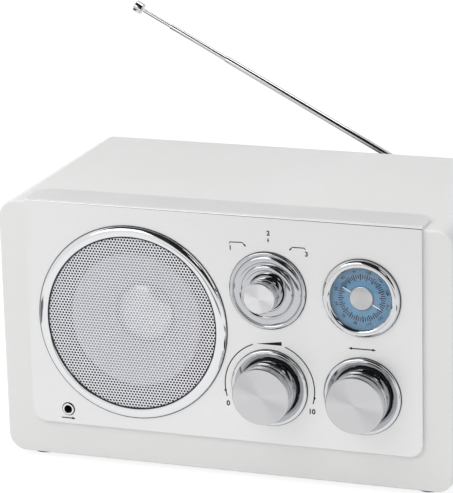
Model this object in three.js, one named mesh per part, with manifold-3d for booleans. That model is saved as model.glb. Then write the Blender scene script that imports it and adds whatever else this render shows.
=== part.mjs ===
// Tabletop radio with a round loudspeaker, a round tuning dial and three front controls.
//
// Frame: millimetres, +X to the right, +Y to the back, +Z up. The origin is on the resting surface,
// under the middle of the whole radio. Depths in this file run from the cabinet's front face,
// which is y = 0 inside the "radio" group, and heights run from the cabinet's underside.

import * as THREE from 'three';
import { mergeVertices } from 'three/addons/utils/BufferGeometryUtils.js';
import Module from 'manifold-3d';

const wasm = await Module();
wasm.setup();

// ---------------------------------------------------------------------------
// Driving dimensions
// ---------------------------------------------------------------------------

// Clearances
const fitGap = 0.3; // between pieces that sit in or on each other
const runningGap = 0.3; // round a shaft, a knob or any other piece that moves
const slidingGap = 0.14; // between the drawn tubes of the antenna
const hairline = 0.01; // straight left between two rounded corners that would meet

// Cabinet: a lacquered fibreboard box with a front wall and an open, rebated back
const cabinetWidth = 214;
const cabinetHeight = 120.7;
const cabinetDepth = 123.8;
const cabinetCorner = 8.2;
const cabinetWall = 9;
const frontWall = 8;
const innerCorner = 2;
const rebateLedge = 5.5;

// Feet
const footHeight = 2.5;
const footRadius = 6.5;
const footInsetAcross = 14;
const footInsetAlong = 12;
const footRecessRadius = 2;
const footRecessDepth = 1.2;

// Front panel: a moulding that covers the front and folds back over the top
const panelWidth = 186.6;
const panelThickness = 1.7;
const panelBottom = 16.3;
const panelCorner = 6.4;
const flangeDepth = 18.3;
const flangeCorner = 7;
const foldRadius = 1.5;
const bossRadius = 2.5;
const bossInset = 3.4;

// Window in the front wall behind the controls, and the board that stands behind it
const windowLeft = 8;
const windowRight = 90;
const windowBottom = 21;
const windowGearGap = 3; // from the dial gear's teeth to the window's top edge, at least
const windowCorner = 3;
const boardGap = 1; // from the board's edge to the window's edge
const boardTopGap = 1.7; // from the board's top edge to the underside of the cabinet's top
const boardCorner = 1;
const boardFront = 14;
const boardThickness = 1.6;

// Places of the round features on the front; drops are below the middle of the panel's height
const speakerX = -42.5;
const speakerDrop = 0.8;
const leftControlX = 22.5;
const rightControlX = 65.9;
const controlDrop = 3.1;
const controlRowPitch = 45.4;
const jackX = -75.7;
const jackRise = 6.9; // from the panel's lower edge to the socket's middle

// Trim rings round the controls
const trimRadius = 17.8;
const trimSkirtRadius = 15.4;
const trimEdge = 0.6; // height of the ring's outer edge above the panel
const crestSweep = 120; // degrees of a trim ring's rounded crest
const knobTrimCrestWidth = 1.65;
const knobTrimCrestRise = 0.8;
const knobTrimDish = 0.5; // how far the dish goes back behind the panel's face
const knobTrimChamfer = 0.3;

// Loudspeaker trim, grille and driver
const speakerTrimRadius = 45.4;
const speakerTrimCrest = 2;
const grilleRadius = 40.6;
const grilleFront = -2.9;
const grilleThickness = 1;
const grillePitch = 9;
const grilleHoleRadius = 2.8;
const grilleLedge = 1.6;
const driverRadius = 45;
const driverHoleGap = 1;
const driverSeat = 3; // depth at which the driver's flange starts
const basketSheet = 1.2;
const basketBackRadius = 23;
const basketBackDepth = 21;
const basketWindows = 6;
const basketWindowShare = 0.62; // share of the bowl's circumference that is open
const basketWindowMargin = 3;
const basketShoulderDrop = 4.3; // depth of the bowl's rounded shoulder
const basketShoulderInset = 5.4;
const basketOpening = 40.2;
const surroundLipRadius = 42.2;
const surroundThickness = 0.8;
const surroundRise = 2.6;
const surroundFillet = 20; // degrees of the roll that the lip covers
const coneRadius = 31.5;
const coneDepth = 14;
const coneSheet = 0.8;
const coilInnerRadius = 12.4;
const coilThickness = 0.7;
const dustCapRadius = 14.5;
const dustCapRise = 4.2;
const poleRadius = 12;
const topPlateRadius = 24;
const topPlateThickness = 4;
const magnetRadius = 28;
const magnetBore = 16.5;
const magnetThickness = 10;
const yokeRadius = 26;
const yokeThickness = 4;

// Large knobs (volume, tuning)
const knobRadius = 13.2;
const knobFace = 15.4; // distance from the front of the cabinet to the knob's face
const knobBack = 1.5;
const knobShell = 1.6;
const knobFaceplate = 1.6;
const knobGroovePlace = 5;
const knobGrooveWidth = 0.5;
const knobGrooveDepth = 0.3;
const knobHubRadius = 5.6;
const capThickness = 1;
const capChamfer = 0.4;

// Small selector knob and its stepped escutcheon
const selectorFaceRadius = 7.2;
const selectorBaseRadius = 8.1;
const selectorFace = 14.6;
const selectorBack = 4.4;
const selectorShell = 1.3;
const selectorHubRadius = 4.4;
const selectorRimWidth = 1.35;
const selectorRimRise = 0.6;
const selectorValley = 1.9; // from the outer edge to the foot of the first step
const selectorStepRadius = 12.9;
const selectorStepSlope = 3;
const selectorStepFoot = 20; // degrees of the slope's curve that the valley covers
const selectorStepHeight = 1.5;
const selectorGroove = 0.5; // depth and width of the groove between the two steps
const selectorCrownHeight = 2.2;

// Control shafts, bushings and bodies
const shaftRadius = 3;
const shaftTipGap = 0.4; // from the shaft's front end to the bottom of the knob's bore
const bushingWall = 1.2;
const bushingLength = 6;
const potRadius = 8.5;
const potDepth = 8;
const switchRadius = 10;
const switchDepth = 9;
const switchSides = 12;
const bodyFloor = 1.6; // closed end behind a shaft's bore
const shaftOverrun = 1.5; // of the tuning shaft behind the board
const terminalWidth = 9;
const terminalThickness = 2.8;
const terminalDrop = 5;

// Tuning dial
const dialSkirtRadius = 15.9;
const dialWall = 0.9;
const dialOpeningRadius = 14.2;
const dialLip = 0.3; // height of the trim ring's inner edge in front of the lens
const dialSweep = 140; // degrees of the trim ring's rounded section
const lensThickness = 0.6;
const scaleFront = -1.3;
const scaleThickness = 0.8;
const scaleRim = 1;
const dialHubRadius = 5.3;
const dialHubThickness = 0.5;
const dialHubBossRadius = 3;
const pointerThickness = 0.3;
const pointerCollarRadius = 4.4;
const pointerWidth = 0.7;
const pointerLength = 19.4;
const pointerAngle = 26.7; // degrees clockwise from level, at rest
const spindleRadius = 1.5;

// Reduction gears between the tuning shaft and the dial spindle
const gearModule = 0.9;
const pinionTeeth = 14;
const dialGearTeeth = 42;
const gearThickness = 2;
const pinionThickness = 4;
const pinionOverhang = 1; // of the pinion in front of the idler
const gearFront = 4;
const toothAddendum = 0.9; // of the module
const toothDedendum = 1.25; // of the module
const pressureAngle = 20;
const backlash = 0.16; // taken off each tooth at the pitch circle
const dialGearHubWall = 2.7;
const gearPlateThickness = 1.2;
const gearPlateMargin = 2;
const gearPlateCorner = 2;
const studRadius = 1.5;
const studShoulderRadius = 2.4;
const studGrooveRadius = 1.1;
const studHead = 0.8; // length of the stud in front of its clip
const clipRadius = 3;
const clipThickness = 0.6;
const clipMouth = 1.8;

// Tuning capacitor
const capacitorSize = 20;
const capacitorDepth = 12;
const capacitorFloor = 1.6;

// Parts on the back of the board
const canSize = 7.5;
const canHeight = 9;
const canGap = 2;
const chipLength = 20;
const chipWidth = 8;
const chipHeight = 3.2;

// Auxiliary socket
const jackBore = 1.85;
const jackSleeveRadius = 2.9;
const jackRingRadius = 2.75;
const jackRingHeight = 0.6;
const jackRingRound = 0.25;
const jackBodyWidth = 11;
const jackBodyHeight = 9;
const jackBodyDepth = 12;

// Ferrite aerial under the top
const ferriteRadius = 4.5;
const ferriteLength = 100;
const ferriteX = 12;
const ferriteY = 72;
const ferriteDrop = 12; // from the underside of the top to the rod's axis
const ferriteCoilLength = 26;
const ferriteCoilThickness = 1.6;
const holderWidth = 8;
const holderWall = 2;
const holderSpan = 62;

// Mains transformer on the cabinet's floor
const transformerGap = 4.4; // from the winding to the mains inlet
const coreWidth = 42;
const coreHeight = 35;
const coreStack = 16;
const coreLeg = 7;
const coreCentreLeg = 13;
const coreFoot = 8;
const coreFootThickness = 1.5;
const windingOverhang = 6;
const windingCorner = 2;

// Back cover, its vent slots and screws
const coverThickness = 3;
const coverCorner = 3;
const slotWidth = 2.4;
const slotHeight = 24;
const slotPitch = 7;
const slotCount = 6;
const slotGroupX = 34;
const slotGroupDrop = 40.7; // from the cabinet's top to the middle of the slots
const coverScrewInset = 31;
const screwRadius = 1.4;
const screwTipRadius = 0.6;
const screwTipLength = 2;
const screwLength = 14; // under the head
const screwHoleSpare = 2;
const screwHeadRadius = 3;
const screwHeadHeight = 1.6;
const screwHeadTopRadius = 1.8;

// Mains inlet in the back cover
const inletInset = 45; // from the cabinet's left side
const inletZ = 30;
const inletCorner = 2;
const inletFlangeWidth = 27;
const inletFlangeHeight = 17;
const inletFlangeThickness = 1.6;
const inletCavityWidth = 14.8;
const inletCavityHeight = 8.2;
const inletCavityDepth = 13;
const inletWall = 2;
const inletPinRadius = 1.2;
const inletPinSpacing = 8.6;
const inletPinLength = 10;

// Telescopic antenna on the back cover
const antennaInset = 23; // from the cabinet's right side
const antennaDrop = 26.3; // from the cabinet's top
const antennaLean = 62.2; // degrees from upright, towards the left
const antennaBaseRadius = 6.6;
const antennaBaseHeight = 2;
const antennaStudRadius = 2.2;
const antennaStudTail = 2; // of the stud inside the cover
const swivelRadius = 5.4;
const swivelDiscHeight = 1.6;
const mastStandoff = 7.2; // from the cover's face to the mast's axis
const cheekLength = 7;
const cheekThickness = 1.3;
const eyeRadius = 2.5;
const eyeThickness = 2.2;
const hingePinRadius = 0.9;
const hingePinHead = 0.4;
const outerTubeRadius = 1.6;
const outerTubeStart = 4.2;
const outerTubeEnd = 142.8;
const tubeWall = 0.22;
const middleTubeLength = 125;
const middleTubeShows = 31.8;
const innerRodLength = 118;
const innerRodShows = 15.6;
const tubeFloor = 3; // solid foot of the outer tube
const tipRadius = 2.7;
const tipLength = 5.4;
const tipRound = 0.8;

// Facets round a full circle
const fineFacets = 36;
const roundFacets = 24;
const hiddenFacets = 16;
const smallFacets = 12;
const tubeFacets = 10;

// Facets in a corner's quarter circle
const cornerFacets = 6;
const smallCornerFacets = 2;

// ---------------------------------------------------------------------------
// Finishes
// ---------------------------------------------------------------------------

const finishes = {
  whiteLacquer: { color: 0xe9e8e6, roughness: 0.35, metalness: 0 },
  silverPlastic: { color: 0xdcdcdd, roughness: 0.45, metalness: 0.2 },
  chrome: { color: 0xd8d9db, roughness: 0.08, metalness: 1 },
  spunAluminium: { color: 0xd2d3d4, roughness: 0.3, metalness: 1 },
  steelSheet: { color: 0xa9abad, roughness: 0.4, metalness: 1 },
  perforatedSteel: { color: 0xd9d9dc, roughness: 0.4, metalness: 0.6 },
  paperCone: { color: 0xc9c7c2, roughness: 0.9, metalness: 0 },
  rubber: { color: 0x2a2a2a, roughness: 0.85, metalness: 0 },
  ferrite: { color: 0x3a3a3c, roughness: 0.7, metalness: 0.1 },
  clearPlastic: { color: 0xf4f7f9, roughness: 0.05, metalness: 0 },
  blueScale: { color: 0x6f9fc4, roughness: 0.4, metalness: 0 },
  whitePlastic: { color: 0xf2f2f0, roughness: 0.5, metalness: 0 },
  blackPlastic: { color: 0x202123, roughness: 0.5, metalness: 0 },
  gearPlastic: { color: 0xe8e4d8, roughness: 0.5, metalness: 0 },
  circuitBoard: { color: 0x9a7b3f, roughness: 0.6, metalness: 0 },
  copperWire: { color: 0xb5652d, roughness: 0.45, metalness: 0.7 },
};

// ---------------------------------------------------------------------------
// Solids from three.js geometry
// ---------------------------------------------------------------------------

// Turns a closed geometry into a solid that can be joined and cut.
function toSolid(geometry) {
  geometry.deleteAttribute('normal');
  geometry.deleteAttribute('uv');
  const merged = mergeVertices(geometry, 1e-4);
  const corners = merged.index.array;
  const faces = [];
  for (let i = 0; i < corners.length; i += 3) {
    const [a, b, c] = [corners[i], corners[i + 1], corners[i + 2]];
    if (a !== b && b !== c && c !== a) faces.push(a, b, c);
  }
  const mesh = new wasm.Mesh({
    numProp: 3,
    vertProperties: Float32Array.from(merged.attributes.position.array),
    triVerts: Uint32Array.from(faces),
  });
  return new wasm.Manifold(mesh);
}

function toGeometry(solid) {
  const mesh = solid.getMesh();
  const geometry = new THREE.BufferGeometry();
  geometry.setAttribute('position', new THREE.BufferAttribute(mesh.vertProperties, 3));
  geometry.setIndex(new THREE.BufferAttribute(mesh.triVerts, 1));
  geometry.computeVertexNormals();
  return geometry;
}

function join(first, ...others) {
  return others.reduce((sum, other) => sum.add(other), first);
}

function cut(first, ...others) {
  return others.reduce((rest, other) => rest.subtract(other), first);
}

function moved(solid, x, y, z) {
  return solid.translate([x, y, z]);
}

// Turned piece about the Y axis; each point of the closed profile is [radius, depth].
function turned(profile, facets = roundFacets) {
  const points = profile.map(([radius, depth]) => new THREE.Vector2(radius, depth));
  if (THREE.ShapeUtils.area(points) < 0) points.reverse();
  points.push(points[0].clone());
  return toSolid(new THREE.LatheGeometry(points, facets));
}

// The same about the Z axis; each point is [radius, height].
function turnedUpright(profile, facets = smallFacets) {
  return turned(profile, facets).rotate([90, 0, 0]);
}

function disc(radius, front, back, facets = roundFacets) {
  return turned([[0, front], [radius, front], [radius, back], [0, back]], facets);
}

function ring(outer, inner, front, back, facets = roundFacets) {
  return turned([[inner, front], [outer, front], [outer, back], [inner, back]], facets);
}

function peg(radius, bottom, top, facets = smallFacets) {
  return turnedUpright([[0, bottom], [radius, bottom], [radius, top], [0, top]], facets);
}

// Flat outline in X and Z, given thickness along the depth.
function slab(shape, front, back, facets = cornerFacets) {
  const options = { depth: back - front, bevelEnabled: false, curveSegments: facets / 2 };
  const geometry = new THREE.ExtrudeGeometry(shape, options);
  geometry.rotateX(Math.PI / 2);
  geometry.translate(0, back, 0);
  return toSolid(geometry);
}

// Flat outline in X and Y, given height.
function plate(shape, bottom, top, facets = cornerFacets) {
  const options = { depth: top - bottom, bevelEnabled: false, curveSegments: facets / 2 };
  const geometry = new THREE.ExtrudeGeometry(shape, options);
  geometry.translate(0, 0, bottom);
  return toSolid(geometry);
}

// Outline in Y and Z, carried along X.
function bar(shape, left, right, facets = cornerFacets) {
  const options = { depth: right - left, bevelEnabled: false, curveSegments: facets / 2 };
  const geometry = new THREE.ExtrudeGeometry(shape, options);
  const turn = new THREE.Matrix4().makeBasis(
    new THREE.Vector3(0, 1, 0),
    new THREE.Vector3(0, 0, 1),
    new THREE.Vector3(1, 0, 0),
  );
  geometry.applyMatrix4(turn);
  geometry.translate(left, 0, 0);
  return toSolid(geometry);
}

function block(left, right, front, back, bottom, top) {
  const geometry = new THREE.BoxGeometry(right - left, back - front, top - bottom);
  geometry.translate((left + right) / 2, (front + back) / 2, (bottom + top) / 2);
  return toSolid(geometry);
}

// Rectangle whose lower and upper corners have their own radii; a radius of 0 is a sharp corner.
function roundedRectangle(left, right, bottom, top, lowerRadius, upperRadius = lowerRadius) {
  const shape = new THREE.Shape();
  const corner = (x, y, radius, quarter) => {
    if (radius) shape.absarc(x, y, radius, (quarter * Math.PI) / 2, ((quarter + 1) * Math.PI) / 2);
  };
  shape.moveTo(left + lowerRadius, bottom);
  shape.lineTo(right - lowerRadius, bottom);
  corner(right - lowerRadius, bottom + lowerRadius, lowerRadius, -1);
  shape.lineTo(right, top - upperRadius);
  corner(right - upperRadius, top - upperRadius, upperRadius, 0);
  shape.lineTo(left + upperRadius, top);
  corner(left + upperRadius, top - upperRadius, upperRadius, 1);
  shape.lineTo(left, bottom + lowerRadius);
  corner(left + lowerRadius, bottom + lowerRadius, lowerRadius, 2);
  return shape;
}

function regularPolygon(radius, sides, x = 0, y = 0, turn = 0) {
  const points = [];
  for (let i = 0; i < sides; i++) {
    const angle = turn + (i * 2 * Math.PI) / sides;
    points.push(new THREE.Vector2(x + radius * Math.cos(angle), y + radius * Math.sin(angle)));
  }
  return points;
}

// Points along part of an ellipse, as [radius, depth] pairs for a turned profile.
function curve(centreRadius, centreDepth, across, along, from, to, steps) {
  const points = [];
  for (let i = 0; i <= steps; i++) {
    const angle = THREE.MathUtils.degToRad(from + ((to - from) * i) / steps);
    points.push([centreRadius + across * Math.cos(angle), centreDepth + along * Math.sin(angle)]);
  }
  return points;
}

// Rounded crest of a trim ring, from its outer edge over to its inner one.
function crest(outer, inner, edge, rise, steps, sweep = crestSweep) {
  const across = (outer - inner) / (1 - Math.cos(THREE.MathUtils.degToRad(sweep)));
  return curve(outer - across, edge, across, rise, 0, -sweep, steps);
}

function piece(name, solid, finish) {
  const mesh = new THREE.Mesh(toGeometry(solid), new THREE.MeshStandardMaterial(finishes[finish]));
  mesh.name = name;
  return mesh;
}

function groupAt(x, y, z, ...pieces) {
  const group = new THREE.Group();
  group.position.set(x, y, z);
  group.add(...pieces);
  return group;
}

// ---------------------------------------------------------------------------
// Places that several pieces share
// ---------------------------------------------------------------------------

const halfWidth = cabinetWidth / 2;
const interiorHalfWidth = halfWidth - cabinetWall;
const interiorTop = cabinetHeight - cabinetWall;
const panelFront = -panelThickness;
const panelMiddle = (panelBottom + cabinetHeight) / 2;
const speakerZ = panelMiddle - speakerDrop;
const upperControlZ = panelMiddle - controlDrop + controlRowPitch / 2;
const lowerControlZ = upperControlZ - controlRowPitch;
const jackZ = panelBottom + jackRise;
const dialGearRadius = (dialGearTeeth * gearModule) / 2;
const boardBack = boardFront + boardThickness;
const boardLeft = windowLeft + boardGap;
const boardRight = windowRight - boardGap;
const boardBottom = windowBottom + boardGap;
const boardTop = interiorTop - boardTopGap;
const gearTop = upperControlZ + dialGearRadius + toothAddendum * gearModule;
const windowTop = Math.max(boardTop + boardGap, gearTop + windowGearGap);
const shaftHoleRadius = shaftRadius + runningGap;
const bushingRadius = shaftHoleRadius + bushingWall;
const spindleHoleRadius = spindleRadius + runningGap;
const coverFront = cabinetDepth - coverThickness;
const ledgeMiddle = rebateLedge / 2;
const coverScrewX = halfWidth - coverScrewInset;
const screwBottomZ = cabinetWall - ledgeMiddle;
const screwTopZ = interiorTop + ledgeMiddle;
const knobHole = knobRadius + runningGap;
const inletX = inletInset - halfWidth;
const inletMouth = cabinetDepth + inletFlangeThickness;
const inletFloor = inletMouth - inletCavityDepth;
const antennaX = halfWidth - antennaInset;
const antennaZ = cabinetHeight - antennaDrop;

function boardCorners() {
  const corners = [];
  for (const x of [boardLeft + bossInset, boardRight - bossInset]) {
    for (const z of [boardBottom + bossInset, boardTop - bossInset]) corners.push([x, z]);
  }
  return corners;
}

// ---------------------------------------------------------------------------
// Cabinet, feet and front panel
// ---------------------------------------------------------------------------

function cabinet() {
  const outer = slab(
    roundedRectangle(-halfWidth, halfWidth, 0, cabinetHeight, cabinetCorner),
    0,
    cabinetDepth,
  );
  const room = slab(
    roundedRectangle(-interiorHalfWidth, interiorHalfWidth, cabinetWall, interiorTop, innerCorner),
    frontWall,
    cabinetDepth + 1,
    smallCornerFacets,
  );
  const rebate = slab(
    roundedRectangle(
      -interiorHalfWidth - rebateLedge,
      interiorHalfWidth + rebateLedge,
      cabinetWall - rebateLedge,
      interiorTop + rebateLedge,
      coverCorner + fitGap,
    ),
    coverFront,
    cabinetDepth + 1,
    smallCornerFacets,
  );
  const controlWindow = slab(
    roundedRectangle(windowLeft, windowRight, windowBottom, windowTop, windowCorner),
    -1,
    frontWall + 1,
    smallCornerFacets,
  );
  const driverHole = moved(disc(driverRadius + driverHoleGap, -1, frontWall + 1), speakerX, 0, speakerZ);
  const jackHole = moved(disc(jackSleeveRadius + fitGap, -1, frontWall + 1, smallFacets), jackX, 0, jackZ);
  const screwHole = disc(
    screwRadius + fitGap,
    cabinetDepth - screwLength - screwHoleSpare,
    cabinetDepth + 1,
    tubeFacets,
  );
  const screwHoles = screwPlaces().map(([x, z]) => moved(screwHole, x, 0, z));
  return cut(outer, room, rebate, controlWindow, driverHole, jackHole, ...screwHoles);
}

function screwPlaces() {
  const places = [];
  for (const x of [-coverScrewX, coverScrewX]) {
    for (const z of [screwBottomZ, screwTopZ]) places.push([x, z]);
  }
  return places;
}

function foot() {
  const body = peg(footRadius, -footHeight, 0);
  const recess = peg(footRecessRadius, -footHeight - 1, footRecessDepth - footHeight, tubeFacets);
  return cut(body, recess);
}

// The front face and the top flange are one sheet with a rounded fold between them.
function frontPanel() {
  const top = cabinetHeight + panelThickness;
  const fold = new THREE.Shape();
  fold.moveTo(panelFront, panelBottom);
  fold.lineTo(0, panelBottom);
  fold.lineTo(0, cabinetHeight);
  fold.lineTo(flangeDepth, cabinetHeight);
  fold.lineTo(flangeDepth, top);
  fold.lineTo(panelFront + foldRadius, top);
  fold.absarc(panelFront + foldRadius, top - foldRadius, foldRadius, Math.PI / 2, Math.PI);
  const half = panelWidth / 2;
  const sheet = bar(fold, -half, half);
  const faceOutline = slab(
    roundedRectangle(-half, half, panelBottom, top + 1, panelCorner, 0),
    panelFront - 1,
    flangeDepth + 1,
  );
  const flangeOutline = plate(
    roundedRectangle(-half, half, panelFront - 1, flangeDepth, 0, flangeCorner),
    0,
    top + 1,
  );
  const boss = disc(bossRadius, 0, boardFront, smallFacets);
  const bosses = boardCorners().map(([x, z]) => moved(boss, x, 0, z));
  const trimHole = disc(trimSkirtRadius + fitGap, panelFront - 1, 1);
  const dialHole = disc(dialSkirtRadius + fitGap, panelFront - 1, 1);
  const holes = [
    moved(trimHole, leftControlX, 0, upperControlZ),
    moved(trimHole, leftControlX, 0, lowerControlZ),
    moved(trimHole, rightControlX, 0, lowerControlZ),
    moved(dialHole, rightControlX, 0, upperControlZ),
  ];
  const speakerHole = moved(
    disc(surroundLipRadius + fitGap, panelFront - 1, 1, fineFacets),
    speakerX,
    0,
    speakerZ,
  );
  const jackHole = moved(disc(jackSleeveRadius + fitGap, panelFront - 1, 1, smallFacets), jackX, 0, jackZ);
  const seat = moved(
    ring(driverRadius, surroundLipRadius + fitGap, 0, driverSeat, fineFacets),
    speakerX,
    0,
    speakerZ,
  );
  const body = join(sheet.intersect(faceOutline).intersect(flangeOutline), ...bosses, seat);
  return cut(body, ...holes, speakerHole, jackHole);
}

// ---------------------------------------------------------------------------
// Loudspeaker, round the middle of its opening
// ---------------------------------------------------------------------------

function speakerTrim() {
  const inner = grilleRadius + fitGap;
  const ledge = grilleRadius - grilleLedge;
  const back = grilleFront + grilleThickness;
  const ledgeBack = back + grilleThickness;
  return turned([
    ...crest(speakerTrimRadius, inner, panelFront, speakerTrimCrest, 5),
    [inner, back],
    [ledge, back],
    [ledge, ledgeBack],
    [surroundLipRadius, ledgeBack],
    [surroundLipRadius, panelFront],
  ], fineFacets);
}

// Round sheet with staggered holes, as many as fit inside a plain rim.
function speakerGrille() {
  const shape = new THREE.Shape().absarc(0, 0, grilleRadius, 0, 2 * Math.PI);
  const rows = Math.ceil(grilleRadius / grillePitch) + 1;
  const rowPitch = grillePitch * Math.sin(Math.PI / 3);
  const reach = grilleRadius - grilleLedge - grilleHoleRadius;
  for (let row = -rows; row <= rows; row++) {
    const stagger = row % 2 ? grillePitch / 2 : 0;
    for (let column = -rows; column <= rows; column++) {
      const x = column * grillePitch + stagger;
      const z = row * rowPitch;
      if (Math.hypot(x, z) > reach) continue;
      shape.holes.push(new THREE.Path(regularPolygon(grilleHoleRadius, 6, x, z, Math.PI / 6)));
    }
  }
  const options = { depth: grilleThickness, bevelEnabled: false, curveSegments: fineFacets / 2 };
  const geometry = new THREE.ExtrudeGeometry(shape, options);
  geometry.rotateX(Math.PI / 2);
  geometry.translate(0, grilleFront + grilleThickness, 0);
  return toSolid(geometry);
}

const basketBack = driverSeat + basketBackDepth;
const topPlateFront = basketBack;
const magnetFront = topPlateFront + topPlateThickness;
const yokeFront = magnetFront + magnetThickness;
const basketShoulder = basketOpening + 2 * basketSheet;
const coilRadius = coilInnerRadius + coilThickness;
const topPlateBore = coilRadius + fitGap;
const coneNeck = driverSeat + coneDepth;

// Pressed steel bowl with a flat flange, a flat back and windows in its cone.
function speakerBasket() {
  const flangeBack = driverSeat + basketSheet;
  const shoulderBack = flangeBack + basketShoulderDrop;
  const shoulder = basketShoulder - basketShoulderInset;
  const bowl = turned([
    [driverRadius - fitGap, driverSeat],
    [driverRadius - fitGap, flangeBack],
    [basketShoulder, flangeBack],
    [shoulder, shoulderBack],
    [basketBackRadius, basketBack],
    [topPlateBore, basketBack],
    [topPlateBore, basketBack - basketSheet],
    [basketBackRadius - basketSheet, basketBack - basketSheet],
    [shoulder - basketSheet, shoulderBack - basketSheet / 2],
    [basketOpening, flangeBack],
    [basketOpening, driverSeat],
  ], hiddenFacets);
  const windowShape = new THREE.Shape();
  const spread = (basketWindowShare * Math.PI) / basketWindows;
  windowShape.absarc(0, 0, basketShoulder, -spread, spread);
  windowShape.absarc(0, 0, basketBackRadius, spread, -spread, true);
  const windowBack = basketBack - basketSheet - basketWindowMargin;
  const slots = [];
  for (let i = 0; i < basketWindows; i++) {
    const slot = slab(windowShape, shoulderBack, windowBack, smallCornerFacets);
    slots.push(slot.rotate([0, (360 * i) / basketWindows, 0]));
  }
  return cut(bowl, ...slots);
}

function topPlate() {
  return ring(topPlateRadius, topPlateBore, topPlateFront, magnetFront, hiddenFacets);
}

function magnet() {
  return ring(magnetRadius, magnetBore, magnetFront, yokeFront, hiddenFacets);
}

// Pole piece and back plate, turned in one.
function yoke() {
  return turned([
    [0, topPlateFront],
    [poleRadius, topPlateFront],
    [poleRadius, yokeFront],
    [yokeRadius, yokeFront],
    [yokeRadius, yokeFront + yokeThickness],
    [0, yokeFront + yokeThickness],
  ], hiddenFacets);
}

// Half-roll of rubber round the cone, with a lip on the front of the basket's flange.
function surround() {
  const outside = basketOpening - fitGap;
  const inside = coneRadius + fitGap;
  const middle = (outside + inside) / 2;
  const half = (outside - inside) / 2;
  const rise = surroundRise + surroundThickness;
  const front = curve(middle, driverSeat, half, rise, -surroundFillet, -180, 4);
  const back = curve(middle, driverSeat, half - surroundThickness, surroundRise, -180, 0, 3);
  return turned([
    [surroundLipRadius, driverSeat],
    [surroundLipRadius, driverSeat - surroundThickness],
    ...front,
    ...back,
  ], hiddenFacets);
}

// Paper cone with the voice coil's former on its neck.
function speakerCone() {
  return turned([
    [coneRadius, driverSeat],
    [coilRadius, coneNeck],
    [coilRadius, topPlateFront + topPlateThickness],
    [coilInnerRadius, topPlateFront + topPlateThickness],
    [coilInnerRadius, coneNeck - coneSheet],
    [coneRadius - coneSheet, driverSeat - coneSheet],
  ], hiddenFacets);
}

// Domed cap that sits on the cone over its neck.
function dustCap() {
  const slope = coneDepth / (coneRadius - coilRadius);
  const seat = coneNeck - coneSheet - fitGap - (dustCapRadius - coilRadius) * slope - coneSheet;
  const outside = curve(0, seat, dustCapRadius, dustCapRise, -90, 0, 4);
  const inside = curve(0, seat, dustCapRadius - coneSheet, dustCapRise - coneSheet, 0, -90, 2);
  return turned([...outside, ...inside], hiddenFacets);
}

function speakerPieces() {
  return [
    piece('speaker_trim_ring', speakerTrim(), 'chrome'),
    piece('speaker_grille', speakerGrille(), 'perforatedSteel'),
    piece('speaker_basket', speakerBasket(), 'steelSheet'),
    piece('speaker_top_plate', topPlate(), 'steelSheet'),
    piece('speaker_magnet', magnet(), 'ferrite'),
    piece('speaker_yoke', yoke(), 'steelSheet'),
    piece('speaker_surround', surround(), 'rubber'),
    piece('speaker_cone', speakerCone(), 'paperCone'),
    piece('speaker_dust_cap', dustCap(), 'paperCone'),
  ];
}

// ---------------------------------------------------------------------------
// Front controls, each round its own shaft
// ---------------------------------------------------------------------------

// Dished ring round a large knob.
function knobTrim() {
  return turned([
    [trimSkirtRadius, 0],
    [trimSkirtRadius, panelFront],
    [trimRadius, panelFront],
    ...crest(trimRadius, trimRadius - knobTrimCrestWidth, panelFront - trimEdge, knobTrimCrestRise, 3),
    [knobHole + knobTrimChamfer, panelFront + knobTrimDish],
    [knobHole, panelFront + knobTrimDish + knobTrimChamfer],
    [knobHole, 0],
  ]);
}

// Escutcheon that climbs to the selector knob in two rounded steps.
function selectorTrim() {
  const bore = selectorBaseRadius + runningGap;
  const edge = panelFront - trimEdge;
  const stepTop = panelFront - selectorStepHeight;
  const crown = panelFront - selectorCrownHeight;
  const crownEdge = selectorStepRadius - 2 * selectorGroove;
  return turned([
    [trimSkirtRadius, 0],
    [trimSkirtRadius, panelFront],
    [trimRadius, panelFront],
    ...crest(trimRadius, trimRadius - selectorRimWidth, edge, selectorRimRise, 2),
    [trimRadius - selectorValley, edge],
    ...curve(selectorStepRadius, edge, selectorStepSlope, edge - stepTop, -selectorStepFoot, -90, 2),
    [crownEdge, stepTop + selectorGroove],
    ...crest(crownEdge, bore, stepTop, stepTop - crown, 3),
    [bore, 0],
  ]);
}

const pointerBack = scaleFront - runningGap;
const pointerFront = pointerBack - pointerThickness;
const dialHubFront = pointerFront - dialHubThickness;
const lensFront = dialHubFront - runningGap - lensThickness;
const lensSeat = dialSkirtRadius - dialWall;

function dialTrim() {
  const edge = panelFront - trimEdge;
  const rise = (edge - lensFront + dialLip) / Math.sin(THREE.MathUtils.degToRad(dialSweep));
  return turned([
    [dialSkirtRadius, 0],
    [dialSkirtRadius, panelFront],
    [trimRadius, panelFront],
    ...crest(trimRadius, dialOpeningRadius, edge, rise, 6, dialSweep),
    [dialOpeningRadius, lensFront],
    [lensSeat, lensFront],
    [lensSeat, 0],
  ]);
}

// Hollow moulded knob with a hub for the shaft; its front carries a metal cap.
function largeKnob() {
  const front = capThickness - knobFace;
  const groove = knobGroovePlace - knobFace;
  const inside = knobRadius - knobShell;
  const web = front + knobFaceplate;
  return turned([
    [0, front],
    [knobRadius, front],
    [knobRadius, groove],
    [knobRadius - knobGrooveDepth, groove + knobGrooveWidth / 2],
    [knobRadius, groove + knobGrooveWidth],
    [knobRadius, -knobBack - capChamfer],
    [knobRadius - capChamfer, -knobBack],
    [inside, -knobBack],
    [inside, web],
    [knobHubRadius, web],
    [knobHubRadius, -knobBack],
    [shaftHoleRadius, -knobBack],
    [shaftHoleRadius, web],
    [0, web],
  ]);
}

function knobCap(radius, face) {
  return turned([
    [0, -face],
    [radius - capChamfer, -face],
    [radius, capChamfer - face],
    [radius, capThickness - face],
    [0, capThickness - face],
  ]);
}

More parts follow.
